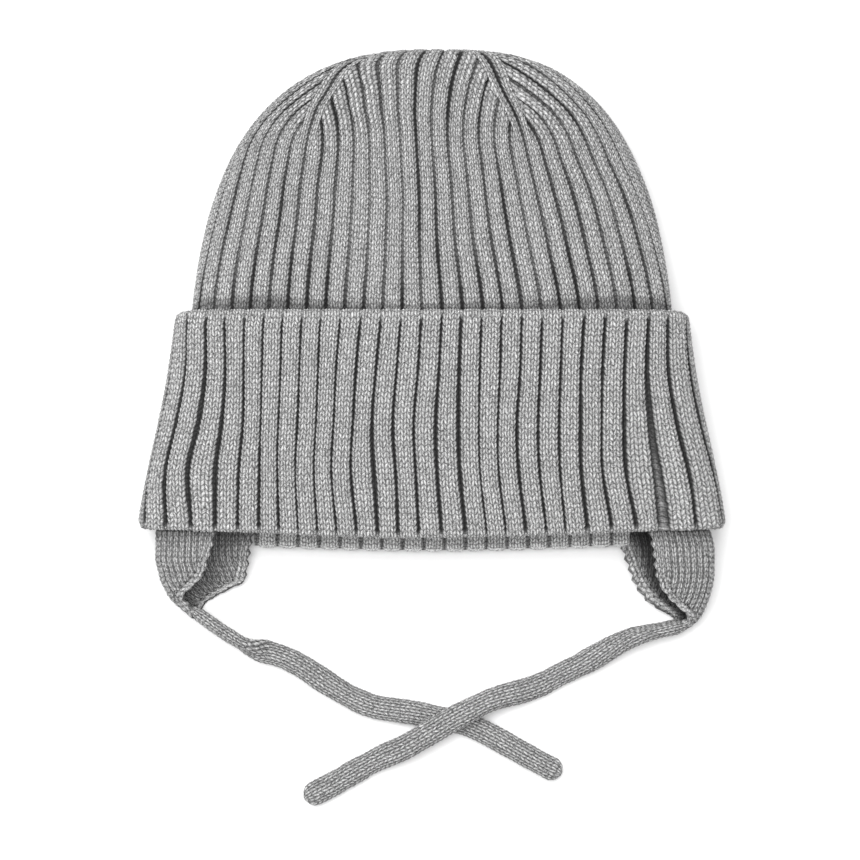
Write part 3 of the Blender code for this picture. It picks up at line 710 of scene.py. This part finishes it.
CLOSING_SHARE = 0.975  # how much of the rise is knitted before the closing
RIM_KNIT = 0.0040  # how far up from the rim's line the knit has its fine rows, before it goes under the cuff
HIDDEN_KNIT = 0.0040  # how far they run on under the cuff's top edge
INNER_KNIT = 0.0105  # how far up the inside they run
PLAIN_START = 0.022
SLANT_START = 0.004  # length over which the stitches begin to slant at the rim, and stop before the closing
SLANT_END = 0.006
RIM_BLEND = 0.030  # length over which the rim's own shape fades out
RIM_ROUNDING = 0.0010
RIM_SEAMS = (5.5, 4.5)  # ribs from each side to where the front rim goes up into the cuff, left and right
SCALLOP = 0.0007
SIDE_SHADE = (0.07, 0.34, 0.85)  # on a rib's rounded sides
EDGE_SHADE = 0.55  # close over the cuff's edge
EDGE_SHADE_HEIGHT = 0.0035


def crown_wander(lengths):
    """How far all the ribs wander round the hat, in quarters."""
    return 0.004 * wander(2, lengths, 0.03)


def from_side(quarters):
    """0 at the hat's sides, 1 at the middle of its front and of its back."""
    return np.abs(np.mod(quarters, 2.0) - 1.0)


def crown():
    legs, rib, leg_numbers = rib_columns()
    shown_from = CUFF_TOP_Y - HIDDEN_KNIT - RIM_Y
    full = RIM_DROP + RISE_LENGTH * CLOSING_SHARE
    fine_low = np.arange(0, RIM_KNIT, STITCH / 2)
    hidden = np.linspace(fine_low[-1], shown_from, 8)[1:-1]
    fine_top = np.arange(math.ceil(shown_from / STITCH) * STITCH, full, STITCH / 2)
    lengths = np.concatenate([fine_low, hidden, fine_top])[:, None]
    courses = lengths / STITCH
    rise = (lengths - RIM_DROP) / RISE_LENGTH
    ribs = rib_places(legs, rib, crown_slit(rib - 0.5, lengths), crown_slit(rib + 0.5, lengths))
    quarters, gone = narrowed(ribs, np.clip(rise, 0, 1))
    # the ribs sway on their way up, and wander
    sway = across_front(SWAY_HEIGHTS, SWAY_PLACES, CROWN_SWAYS, quarters * QUARTER_RIBS, lengths - CUFF_EDGE)
    quarters = quarters + sway / QUARTER_RIBS + crown_wander(lengths)
    lag = np.where(gone, 0, v_rows(legs) * STITCH + uneven_rows(rib, lengths))
    lag = np.where(legs < 0, 0, lag) * smoothstep(lengths / SLANT_START) * smoothstep((full - lengths) / SLANT_END)
    # painted shade in the grooves and on the ribs' rounded sides, as strong as each groove, and a painted shadow
    # on the crown close over the cuff's edge
    rounded, dark = rib_depth(legs[None, :], SIDE_SHADE)
    dark = dark * groove_strength(np.where(legs < CREST_LEG, rib - 0.5, rib + 0.5), lengths)
    dark = dark + (1 - dark) * EDGE_SHADE * (1 - smoothstep((lengths - CUFF_EDGE) / EDGE_SHADE_HEIGHT))
    depth = rounded + np.where(legs < 0, 0, leg_relief(legs[None, :], courses))
    points = body_at(lengths + lag, quarters, np.where(gone, RIB_DEPTH * 0.5, depth))

    # the rim: its front is tucked up in the cuff, its back shows under it, scalloped by the ribs
    to_side = from_side(quarters[0])
    on_front = np.cos(quarters[0] * math.pi / 2) > 0
    on_right = np.mod(quarters[0], 4.0) < 2.0
    seam = np.where(on_right, RIM_SEAMS[1], RIM_SEAMS[0]) / QUARTER_RIBS
    tucked = (to_side < seam + 1e-4) | on_front
    raised = RIM_SAG * (1 - to_side) ** 1.5 + RIM_TUCK * tucked - SCALLOP * (1 - from_crest(legs) ** 4)
    points[..., 1] += (1 - smoothstep(lengths / RIM_BLEND)) * raised

    # in each half panel, the columns that the narrowing has taken away fall together
    merged = np.full(gone.shape, -1)
    wide = int(HALF_PANEL * len(RIB_LEGS))
    for start in range(0, gone.shape[1], wide):
        inside = gone[:, start:start + wide]
        merged[:, start:start + wide] = np.where(inside, start + np.argmax(inside, axis=1)[:, None], -1)

    knit = Knit()
    # the columns that the narrowing has taken away get a middling painted shade
    numbers = knit.rows(points, leg_numbers, courses, np.where(gone, 0.3, dark), merged)
    knit.face(numbers[-1][::-1])

    # the inside: knit near the rim, plain further in
    inner_lengths = np.arange(0, INNER_KNIT, STITCH / 2)[:, None]
    inner_quarters, _ = narrowed(ribs[:1], 0.0 * inner_lengths)
    inner_lag = v_rows(legs) * STITCH * smoothstep(inner_lengths / SLANT_START)
    inner_depth = BODY_WALL - leg_relief(legs[None, :], inner_lengths / STITCH)
    inner = body_at(inner_lengths + inner_lag, inner_quarters + crown_wander(inner_lengths), inner_depth)
    inner[..., 1] += (1 - smoothstep(inner_lengths / RIM_BLEND)) * raised
    # painted light on the crests of the rim's inside, painted shade in its grooves
    inner_painted_light_and_shade = np.interp(np.abs(legs - CREST_LEG), [2.4, 3.0, 3.5], [-0.55, 0.1, 0.85])
    middle_rim = (points[0] + inner[0]) / 2 + np.array([0, -RIM_ROUNDING, 0])
    rim = knit.rows(middle_rim[None], leg_numbers, [0.0], inner_painted_light_and_shade[None, :])
    inner_numbers = knit.rows(inner[::-1], leg_numbers, -inner_lengths[::-1] / STITCH, inner_painted_light_and_shade[None, :])
    knit.bridge(numbers[0][::-1], rim[0][::-1])
    knit.bridge(rim[0][::-1], inner_numbers[-1][::-1])
    plain_places = (np.arange(RIB_COUNT) - RIB_COUNT // 2 - 0.5)[None, :]
    plain_lengths = np.array([PLAIN_START, RIM_DROP, 0.5 * (RIM_DROP + full), 0.8 * full, 0.92 * full])[:, None]
    plain_quarters, _ = narrowed(plain_places, np.clip((plain_lengths - RIM_DROP) / RISE_LENGTH, 0, 1))
    plain = body_at(plain_lengths, plain_quarters, BODY_WALL)
    plain_numbers = knit.rows(plain[::-1], np.arange(RIB_COUNT) * LEGS_TO_RIB, -plain_lengths[::-1] / STITCH,
                              np.zeros((1, 1)))
    knit.bridge(inner_numbers[0], plain_numbers[-1])
    knit.face(plain_numbers[0])
    piece = knit.piece("crown_knit_body", yarn("crown_yarn"))
    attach(piece, "root")
    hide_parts("crown")


crown()


# Cuff.
# The lower part of the hat, turned up into a deep doubled band in the same rib, with a soft rolled edge at its top
# and its bottom. It stands a little off the crown and spreads towards the rim.
CUFF_HEIGHT = 0.0792
CUFF_WALL = 0.0036
CUFF_FACE_GAP = 0.0005
CUFF_SIDE_GAP = 0.0026
CUFF_SAG = 0.003
CUFF_CORNER = 0.0032
CUFF_CORNER_SHARE = 0.13
CUFF_BOW = 0.0016
CUFF_SIDE_STRETCH = 0.085


def cuff_ring(share):
    y = CUFF_TOP_Y - share * CUFF_HEIGHT
    width = body_half_width(y) + CUFF_SIDE_GAP + CUFF_WALL
    return level_ring(y, width, half_loft(y) + CUFF_FACE_GAP + CUFF_WALL, 0.0)


CUFF_RINGS = 90
cuff_form = Form([cuff_ring(share) for share in np.linspace(1, 0, CUFF_RINGS)])


def cuff_quarters(ribs, share):
    """Where ribs lie round the cuff: they bow to one side half way down, and spread at the sides lower down."""
    quarters = ribs / QUARTER_RIBS
    whole = np.round(quarters / 2) * 2
    inside = quarters - whole
    spread = CUFF_SIDE_STRETCH * smoothstep(share)
    inside = inside * (1 - spread) + spread * inside**3
    return whole + inside - CUFF_BOW / body_half_width(CUFF_TOP_Y) * np.sin(math.pi * share)


# The grooves across the cuff's front, from left to right: half-widths, and how far they sway to the right, as
# shares of a rib at five heights from the top down. One near the right edge gapes, and its sunk stitches show.
GROOVE_SHARES = (0.07, 0.27, 0.50, 0.73, 0.94)
GROOVE_PLACES = (-20, *np.arange(-12.5, 13), 20)
GROOVE_SLITS, GROOVE_SWAYS = zip(
    ((0.028, 0.035, 0.057, 0.063, 0.063), (-0.08, 0.25, 0.18, -0.07, 0.10)),
    ((0.043, 0.074, 0.106, 0.095, 0.070), (0.01, 0.33, 0.30, -0.03, 0.19)),
    ((0.037, 0.050, 0.079, 0.102, 0.068), (0.01, 0.35, 0.42, 0.23, 0.26)),
    ((0.027, 0.025, 0.040, 0.052, 0.049), (0.04, 0.27, 0.44, 0.30, 0.26)),
    ((0.024, 0.026, 0.029, 0.046, 0.057), (0.02, 0.19, 0.30, 0.26, 0.21)),
    ((0.024, 0.019, 0.012, 0.019, 0.044), (-0.03, 0.13, 0.16, 0.10, 0.12)),
    ((0.028, 0.022, 0.032, 0.019, 0.022), (-0.05, 0.07, 0.09, -0.04, 0.02)),
    ((0.020, 0.025, 0.012, 0.012, 0.033), (-0.10, 0.00, 0.00, -0.14, -0.07)),
    ((0.024, 0.032, 0.025, 0.033, 0.027), (-0.10, -0.10, -0.13, -0.29, -0.16)),
    ((0.041, 0.056, 0.042, 0.038, 0.055), (-0.08, -0.10, -0.17, -0.34, -0.19)),
    ((0.028, 0.044, 0.065, 0.103, 0.071), (-0.05, -0.10, -0.22, -0.20, -0.15)),
    ((0.032, 0.042, 0.057, 0.058, 0.064), (-0.05, -0.06, -0.18, -0.12, -0.14)),
    ((0.043, 0.033, 0.040, 0.046, 0.052), (-0.01, 0.01, -0.13, -0.12, -0.12)),
    ((0.031, 0.049, 0.083, 0.078, 0.077), (0.02, 0.06, -0.03, -0.05, 0.00)),
    ((0.062, 0.077, 0.090, 0.085, 0.085), (0.00, 0.07, 0.10, 0.09, 0.18)),
    ((0.042, 0.040, 0.012, 0.017, 0.023), (0.02, 0.11, 0.13, 0.10, 0.22)),
    ((0.031, 0.037, 0.024, 0.018, 0.026), (0.03, 0.13, 0.07, 0.02, 0.16)),
    ((0.028, 0.038, 0.061, 0.055, 0.058), (0.06, 0.13, 0.02, 0.00, 0.13)),
    ((0.047, 0.047, 0.047, 0.039, 0.041), (0.08, 0.13, 0.07, 0.01, 0.11)),
    ((0.033, 0.034, 0.044, 0.035, 0.025), (0.12, 0.15, 0.10, 0.00, 0.02)),
    ((0.066, 0.060, 0.073, 0.070, 0.077), (0.20, 0.17, 0.14, 0.00, 0.04)),
    ((0.053, 0.055, 0.028, 0.046, 0.069), (0.28, 0.24, 0.16, 0.00, 0.14)),
    ((0.069, 0.058, 0.085, 0.067, 0.069), (0.39, 0.34, 0.24, 0.08, 0.24)),
    ((0.062, 0.093, 0.136, 0.200, 0.250), (0.54, 0.47, 0.50, 0.50, 0.46)),
    ((0.051, 0.065, 0.081, 0.064, 0.038), (0.59, 0.58, 0.76, 0.92, 0.86)),
    ((0.057, 0.075, 0.078, 0.051, 0.028), (0.84, 0.89, 1.05, 1.20, 1.20)),
)
BACK_SLIT = 0.05
LEAST_SLIT = 0.004


def cuff_groove(table, beyond, groove, share):
    """A groove's slit or sway at a share of the way down the cuff, with one value for all those on the back."""
    levels = [(beyond, *values, beyond) for values in zip(*table)]
    return across_front(GROOVE_SHARES, GROOVE_PLACES, levels, groove, share)


def cuff_slit(groove, share):
    """Half the width of a cuff groove at a share of the way down, as a share of a rib."""
    slit = cuff_groove(GROOVE_SLITS, BACK_SLIT, groove, share) + teeth(groove, share * CUFF_HEIGHT / STITCH)
    return np.maximum(slit, LEAST_SLIT)


CUFF_SIDE_SHADE = (0.0, 0.14, 0.88)
CUFF_PLAIN_SHARES = (0.08, 0.3, 0.55, 0.8, 0.92)
CUFF_PLAIN_ROWS = 40
CUFF_WANDER = 0.0022
TOP_EDGE_START = 0.0002
TOP_EDGE_UNEVEN = 0.0008
LOW_EDGE_END = 0.0016
EDGE_FADE = 0.0026  # length over which the grooves open and the stitches rise
UNDER_BEND = 1.6  # the bend beyond which an edge has turned under, in radians


def cuff_sag(quarters, share):
    """How far the cuff hangs down between the hat's sides."""
    return CUFF_SAG * smoothstep(from_side(quarters)) * share**2


def cuff():
    legs, rib, leg_numbers = rib_columns()
    radius = CUFF_WALL / 2
    straight = CUFF_HEIGHT - 2 * radius
    turn = np.radians(np.arange(-180, 1, 30))
    down = np.concatenate([0 * turn, np.arange(0, straight, STITCH / 2)[1:], 0 * turn + straight])
    bend = np.concatenate([turn, 0 * down[len(turn):-len(turn)], -turn[::-1]])[:, None]
    run = np.concatenate([radius * turn, down[len(turn):-len(turn)], straight - radius * turn[::-1]])[:, None]
    down = down[:, None]
    courses = -run / STITCH
    share = (down + radius) / CUFF_HEIGHT
    slit = cuff_slit(rib - 0.5, share)
    ribs = rib_places(legs, rib, slit, cuff_slit(rib + 0.5, share), cuff_groove(GROOVE_SWAYS, 0, rib - 0.5, share),
                      cuff_groove(GROOVE_SWAYS, 0, rib + 0.5, share))
    quarters = cuff_quarters(ribs, share) + CUFF_WANDER * wander(9, down, 0.02)
    outside = np.abs(bend) < UNDER_BEND
    flat = np.cos(bend) ** 2 * outside
    lag = np.where(legs < 0, 0, v_rows(legs) * STITCH + uneven_rows(rib, down)) * flat
    # towards both edges the grooves close and the stitches flatten, at the top some sooner than others
    below_top = run - TOP_EDGE_START + TOP_EDGE_UNEVEN * jitter(7, np.where(legs < CREST_LEG, rib, rib + 1))
    edge = smoothstep(np.minimum(below_top, straight - run + LOW_EDGE_END) / EDGE_FADE)
    rounded, dark = rib_depth(legs[None, :], CUFF_SIDE_SHADE)
    # a gaping groove gets less painted shade: its sunk stitches show
    dark = np.where(legs < 0, np.interp(slit, [0.12, 0.24], [1.0, 0.5]), dark)
    depth = rounded * (0.25 + 0.75 * edge) + np.where(legs < 0, 0, leg_relief(legs[None, :], courses))
    reach = radius - depth * np.where(outside, 1.0, 0.3)
    points = cuff_form.at(1 - (share - lag / CUFF_HEIGHT), quarters, radius - reach * np.cos(bend))
    points[..., 1] -= reach * np.sin(bend)
    corner = CUFF_CORNER * np.clip(1 - from_side(quarters) / CUFF_CORNER_SHARE, 0, 1) ** 2
    points[..., 1] += corner * (2 * share - 1) ** 5 - cuff_sag(quarters, share)
    points[..., 2] = np.maximum(points[..., 2], 0.0)

    knit = Knit()
    # the painted shade of the grooves and the ribs' sides fades towards both edges
    numbers = knit.rows(points[::-1], leg_numbers, courses[::-1], (dark * (0.2 + 0.8 * edge))[::-1])
    # the inside: plain, with two columns to a rib
    plain_share = np.array(CUFF_PLAIN_SHARES)[:, None]
    plain_ribs = np.arange(2 * RIB_COUNT) / 2 - RIB_COUNT // 2 - 0.5
    plain_quarters = cuff_quarters(plain_ribs[None, :], plain_share)
    plain = cuff_form.at(1 - plain_share, plain_quarters, CUFF_WALL)
    plain[..., 1] -= cuff_sag(plain_quarters, plain_share)
    plain_numbers = knit.rows(plain, np.arange(2 * RIB_COUNT) * LEGS_TO_RIB / 2, plain_share * CUFF_PLAIN_ROWS,
                              np.zeros((1, 1)))
    knit.bridge(numbers[-1], plain_numbers[0])
    knit.bridge(numbers[0][::-1], plain_numbers[-1][::-1])
    piece = knit.piece("cuff_knit_band", yarn("cuff_yarn"))
    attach(piece, "root")
    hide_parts("cuff")


cuff()


# Ear flaps.
# Small leaves in a finer rib, one plain column and one sunk, knitted on at the rim's sides and narrowed to a tip
# that runs on into the tie. Each is folded round the side of the lying hat, so that its front half lies over the
# inside of its back half, and has a smooth two-column band with little loops along both free edges.
RIM_SCALLOP = 0.0008
FLAP_WALL = 0.0024
FLAP_SEAM_GAP = 0.0003
FLAP_EDGE_GAP = 0.001
FLAP_TIP_HALF_LOFT = 0.0040
FLAP_WALE = 0.00235
FLAP_BAND = 0.0036
FLAPS = {
    "left": {"side": -1, "length": 0.0342, "draw": 0.0119, "tip_turn": 47, "front_ribs": 3.5, "back_ribs": 5.5,
             "shade": 0.34, "shade_from": 0.36},
    "right": {"side": 1, "length": 0.0400, "draw": 0.0094, "tip_turn": 76, "front_ribs": 3.5, "back_ribs": 4.5,
              "shade": 0.84, "shade_from": 0.16},
}
# A flap's shape on its way down: its draw inwards and its turn as shares of the tip's, the rest of the root's.
FLAP_COLUMNS = ("down", "draw", "front", "back", "turn", "loft", "fold")
FLAP_ROWS = {
    "left": (
        (0.00, 0.00, 1.00, 1.04, 0.00, 1.00, 1.00),
        (0.26, -0.02, 0.96, 0.98, 0.00, 0.97, 0.80),
        (0.41, -0.02, 0.89, 0.96, 0.00, 0.85, 0.60),
        (0.50, 0.04, 0.83, 0.92, 0.00, 0.73, 0.50),
        (0.61, 0.11, 0.64, 0.86, 0.00, 0.58, 0.38),
        (0.70, 0.23, 0.42, 0.71, 0.08, 0.44, 0.29),
        (0.79, 0.36, 0.22, 0.55, 0.16, 0.30, 0.20),
        (0.93, 0.76, 0.14, 0.27, 0.52, 0.08, 0.10),
        (1.00, 1.00, 0.14, 0.15, 1.00, 0.00, 0.07),
    ),
    "right": (
        (0.00, 0.00, 1.00, 1.28, 0.00, 1.00, 1.00),
        (0.21, -0.25, 1.06, 1.22, 0.00, 0.98, 0.85),
        (0.32, -0.27, 1.05, 1.16, 0.00, 0.93, 0.75),
        (0.56, -0.22, 0.95, 0.98, 0.00, 0.66, 0.45),
        (0.66, -0.12, 0.76, 0.82, 0.00, 0.52, 0.33),
        (0.77, 0.05, 0.46, 0.58, 0.04, 0.36, 0.24),
        (0.87, 0.27, 0.20, 0.35, 0.16, 0.20, 0.16),
        (0.955, 0.66, 0.15, 0.24, 0.52, 0.06, 0.10),
        (1.00, 1.00, 0.14, 0.18, 1.00, 0.00, 0.07),
    ),
}
FLAP_ROOT_Y = RIM_Y + RIM_TUCK - RIM_SCALLOP - FLAP_SEAM_GAP
FLAP_ROOT_LOFT = half_loft(FLAP_ROOT_Y)
FLAP_ROOT_WIDTH = body_half_width(FLAP_ROOT_Y)
FOLD_ROUND = math.pi / 2 - 1


def ring_quarter(ring):
    """Length of a ring's first quarter."""
    return float(np.linalg.norm(np.diff(ring[:RING_COUNT + 1], axis=0), axis=1).sum())


FLAP_RIB = ring_quarter(level_ring(FLAP_ROOT_Y, FLAP_ROOT_WIDTH, FLAP_ROOT_LOFT, 0.0)) / QUARTER_RIBS


def flap_share(side, name, down):
    """A column of a flap's table, read smoothly at shares of the way down."""
    columns = dict(zip(FLAP_COLUMNS, zip(*FLAP_ROWS[side])))
    return smooth_between(columns["down"], columns[name], down)


def flap_loft(side, down):
    return FLAP_TIP_HALF_LOFT + (FLAP_ROOT_LOFT - FLAP_TIP_HALF_LOFT) * flap_share(side, "loft", down)


def flap_reach(side, half, down):
    """Length of a flap's front or back half round its fold, from the fold to the free edge."""
    root = FLAPS[side][f"{half}_ribs"] * FLAP_RIB - FLAP_EDGE_GAP - FOLD_ROUND * FLAP_ROOT_LOFT
    return root * flap_share(side, half, down) + FOLD_ROUND * flap_loft(side, down)


def leaf(side, downs, arcs, inset):
    """Points of a flap: downs from its root to its tip, arcs in metres round its fold, and an inset from its
    outer face, the same for a row or one for each point."""
    flap = FLAPS[side]
    points = np.zeros((*arcs.shape, 3))
    inset = np.broadcast_to(inset, arcs.shape)
    for index, down in enumerate(downs):
        loft = float(flap_loft(side, down))
        fold = FLAP_ROOT_WIDTH * float(flap_share(side, "fold", down))
        base = CUFF_STACK * float(flap_share(side, "loft", down))
        arc, into = arcs[index], inset[index]
        reach = np.maximum(np.abs(arc) * (1 - into / loft), np.abs(arc) - math.pi / 2 * into)
        found = []
        for step in (0.0, FLAP_WALL):
            ring = level_ring(0.0, fold - step, loft - step, base + step)
            place = (1 + np.sign(arc) * reach / ring_quarter(ring)) / 4 * len(ring)
            whole = np.floor(place).astype(int)
            share = (place - whole)[:, None]
            found.append(ring[whole % len(ring)] * (1 - share) + ring[(whole + 1) % len(ring)] * share)
        layer = found[0] + (found[1] - found[0]) * (into / FLAP_WALL)[:, None]
        turn = math.radians(flap["tip_turn"]) * float(flap_share(side, "turn", down))
        inwards = fold - layer[:, 0]
        drawn = flap["draw"] * float(flap_share(side, "draw", down))
        points[index, :, 0] = flap["side"] * (FLAP_ROOT_WIDTH - drawn - inwards * math.cos(turn))
        points[index, :, 1] = FLAP_ROOT_Y - flap["length"] * down + inwards * math.sin(turn)
        points[index, :, 2] = layer[:, 2]
    return points


# A flap's columns, the sunk one's middle and a V stitch of two legs: leg, place in the pitch, and shade.
WALE = ((-0.5, 0.0, 0.60), (0.0, 0.12, 0.22), (0.5, 0.31, 0.0), (1.0, 0.50, 0.0), (1.5, 0.69, 0.0),
        (2.0, 0.88, 0.22))
BAND_LEGS = np.arange(-0.5, 4.01, 0.5)


def flap_half(side, half):
    """Columns from the fold out to the free edge: distances at the root, legs, painted shade and the band's start.
    """
    reach = float(flap_reach(side, half, 0.0))
    count = max(2, round((reach - FLAP_BAND) / FLAP_WALE))
    pitch = (reach - FLAP_BAND) / count
    columns = [((wale + at) * pitch, 3 * wale + leg, shade) for wale in range(count) for leg, at, shade in WALE]
    columns += [(reach - FLAP_BAND * (1 - (leg + 0.5) / 4.5), 3 * count + leg, 0.2 if leg < 0 else 0.0)
                for leg in BAND_LEGS]
    return *np.transpose(columns), count * len(WALE)


EDGE_LOOP = 0.00055  # height of the little loops along the free edges
EDGE_ROUNDING = 0.0007
FLAP_GROOVE = 0.0009
FLAP_LEAST_Z = 0.0003
FLAP_START = 0.08  # share of its length over which the stitches begin to slant
EDGE_LIT = 0.04  # share of the inside's width that lies out of the fold's shade
INNER_GROOVE_SHADE = 0.75
UNDER_CUFF_SHADE = 0.5
UNDER_CUFF_LENGTH = 0.0105
PROBE = 0.0004  # how far to each side the leaf is read to find its normals


def side_by_side(front, back):
    """Columns of a flap's front half, from its edge in to the fold, and on over its back half."""
    return np.concatenate([front[..., ::-1], back[..., 1:]], axis=-1)


def ear_flap(side):
    flap = FLAPS[side]
    downs = np.arange(0, 1.0001, STITCH / 2 / flap["length"])
    downs = downs / downs[-1]
    courses = (downs * flap["length"] / STITCH)[:, None]
    halves = []
    for half in ("front", "back"):
        places, legs, dark, start = flap_half(side, half)
        reach = flap_reach(side, half, downs)[:, None]
        inner = np.maximum(reach - FLAP_BAND, 0.0)
        root = places[-1]
        in_band = np.arange(len(places)) >= start
        arcs = np.where(in_band, inner + (places - (root - FLAP_BAND)) / FLAP_BAND * (reach - inner),
                        np.minimum(places * np.maximum(1.0, reach / root), inner))
        gone = ~in_band & (arcs >= inner - 1e-7)
        merged = np.where(gone, np.argmax(gone, axis=1)[:, None], -1)
        loops = EDGE_LOOP * np.cos(math.pi * courses) * ((places - (root - FLAP_BAND)).clip(0) / FLAP_BAND) ** 3
        # the front half runs the other way from the fold
        way = -1 if half == "front" else 1
        fold_column = len(halves[0][1]) - 1 if halves else len(legs) - 1
        merged = np.where(merged >= 0, fold_column + way * merged, -1)
        halves.append((way * (arcs + loops), way * legs + (half == "back"), dark, gone, merged))
    arcs, legs, dark, gone, merged = (side_by_side(*columns) for columns in zip(*halves))
    lag = np.where(gone, 0.0, v_rows(legs + 1.0)) * STITCH * smoothstep(downs / FLAP_START)[:, None]
    relief = leg_relief(legs[None, :] + 1.0, courses) + FLAP_GROOVE * dark[None, :]
    relief = np.where(gone, 0.0004, relief)
    sheets = []
    for into, towards in ((0.0, 1.0), (FLAP_WALL, -1.0)):
        sideways = leaf(side, downs, arcs + PROBE, into) - leaf(side, downs, arcs - PROBE, into)
        shift = PROBE / flap["length"]
        downwards = leaf(side, downs + shift, arcs, into) - leaf(side, downs - shift, arcs, into)
        normals = unit(np.cross(downwards, sideways) * flap["side"])
        sheet = (leaf(side, downs, arcs, into) - normals * (relief * towards)[..., None]
                 - unit(downwards) * lag[..., None])
        sheet[..., 2] = np.maximum(sheet[..., 2], FLAP_LEAST_Z)
        sheets.append(sheet)
    outer, inner = sheets
    knit = Knit()
    # both sides lie in shade close under the cuff
    under_cuff = UNDER_CUFF_SHADE * (1 - smoothstep(downs * flap["length"] / UNDER_CUFF_LENGTH))[:, None]
    out_numbers = knit.rows(outer, legs, courses, dark[None, :] + under_cuff * (1 - dark[None, :]), merged,
                            closed=False)
    # the inside of the leaf lies in the shade of the fold
    inwards = np.clip(1 - arcs / np.maximum(arcs[:, -1:], 1e-6), 0, 1)
    shaded = flap["shade"] * smoothstep((inwards - EDGE_LIT) / flap["shade_from"])
    shaded = shaded + (1 - shaded) * INNER_GROOVE_SHADE * dark[None, :]
    shaded = shaded + under_cuff * (1 - shaded)
    in_numbers = knit.rows(inner, legs, courses, shaded, merged, closed=False)
    rim = []
    for edge in (0, -1):
        outwards = unit(outer[:, edge] - outer[:, edge + (1 if edge == 0 else -1)])
        middle = (outer[:, edge] + inner[:, edge]) / 2 + outwards * EDGE_ROUNDING
        rim.append(knit.rows(middle[:, None, :], [legs[edge]], courses, np.zeros((1, 1)), closed=False)[:, 0])
    for row in range(len(downs) - 1):
        for numbers, edge, flip in ((out_numbers, 0, False), (in_numbers, 0, True),
                                    (out_numbers, -1, True), (in_numbers, -1, False)):
            face = [rim[edge][row], numbers[row, edge], numbers[row + 1, edge], rim[edge][row + 1]]
            knit.face(face[::-1] if flip else face, legs[edge])
    for row, flip in ((0, True), (-1, False)):
        for here in range(len(legs) - 1):
            face = [out_numbers[row, here], out_numbers[row, here + 1], in_numbers[row, here + 1],
                    in_numbers[row, here]]
            knit.face(face[::-1] if flip else face)
        for edge in (0, -1):
            knit.face([out_numbers[row, edge], rim[edge][row], in_numbers[row, edge]])
    piece = knit.piece(f"ear_flap_{side}_knit", flap_finish)
    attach(piece, "root")
    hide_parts(f"ear_flap_{side}")


flap_finish = yarn("flap_yarn")
ear_flap("left")
ear_flap("right")


# Surface and light.
# A white table top, one broad soft light over the hat, a little towards its crown, and bright surroundings.
floor_data = bpy.data.meshes.new("floor")
floor_data.from_pydata([(-3, -3, 0), (3, -3, 0), (3, 3, 0), (-3, 3, 0)], [], [(0, 1, 2, 3)])
floor = bpy.data.objects.new("floor", floor_data)
bpy.context.scene.collection.objects.link(floor)
floor_white = bpy.data.materials.new("white_surface")
floor_white.use_nodes = True
floor_white.node_tree.nodes["Principled BSDF"].inputs["Base Color"].default_value = (0.98, 0.98, 0.98, 1)
floor_white.node_tree.nodes["Principled BSDF"].inputs["Roughness"].default_value = 0.8
floor_data.materials.append(floor_white)

lamp = bpy.data.objects.new("overhead", bpy.data.lights.new("overhead", "AREA"))
lamp.data.size = 1.2
lamp.data.energy = 22.0
lamp.location = (-0.25, 0.35, 1.3)
lamp.rotation_euler = (-0.27, -0.19, 0)
bpy.context.scene.collection.objects.link(lamp)
world = bpy.data.worlds.new("studio")
world.use_nodes = True
world.node_tree.nodes["Background"].inputs["Color"].default_value = (1, 1, 1, 1)
world.node_tree.nodes["Background"].inputs["Strength"].default_value = 0.77
bpy.context.scene.world = world
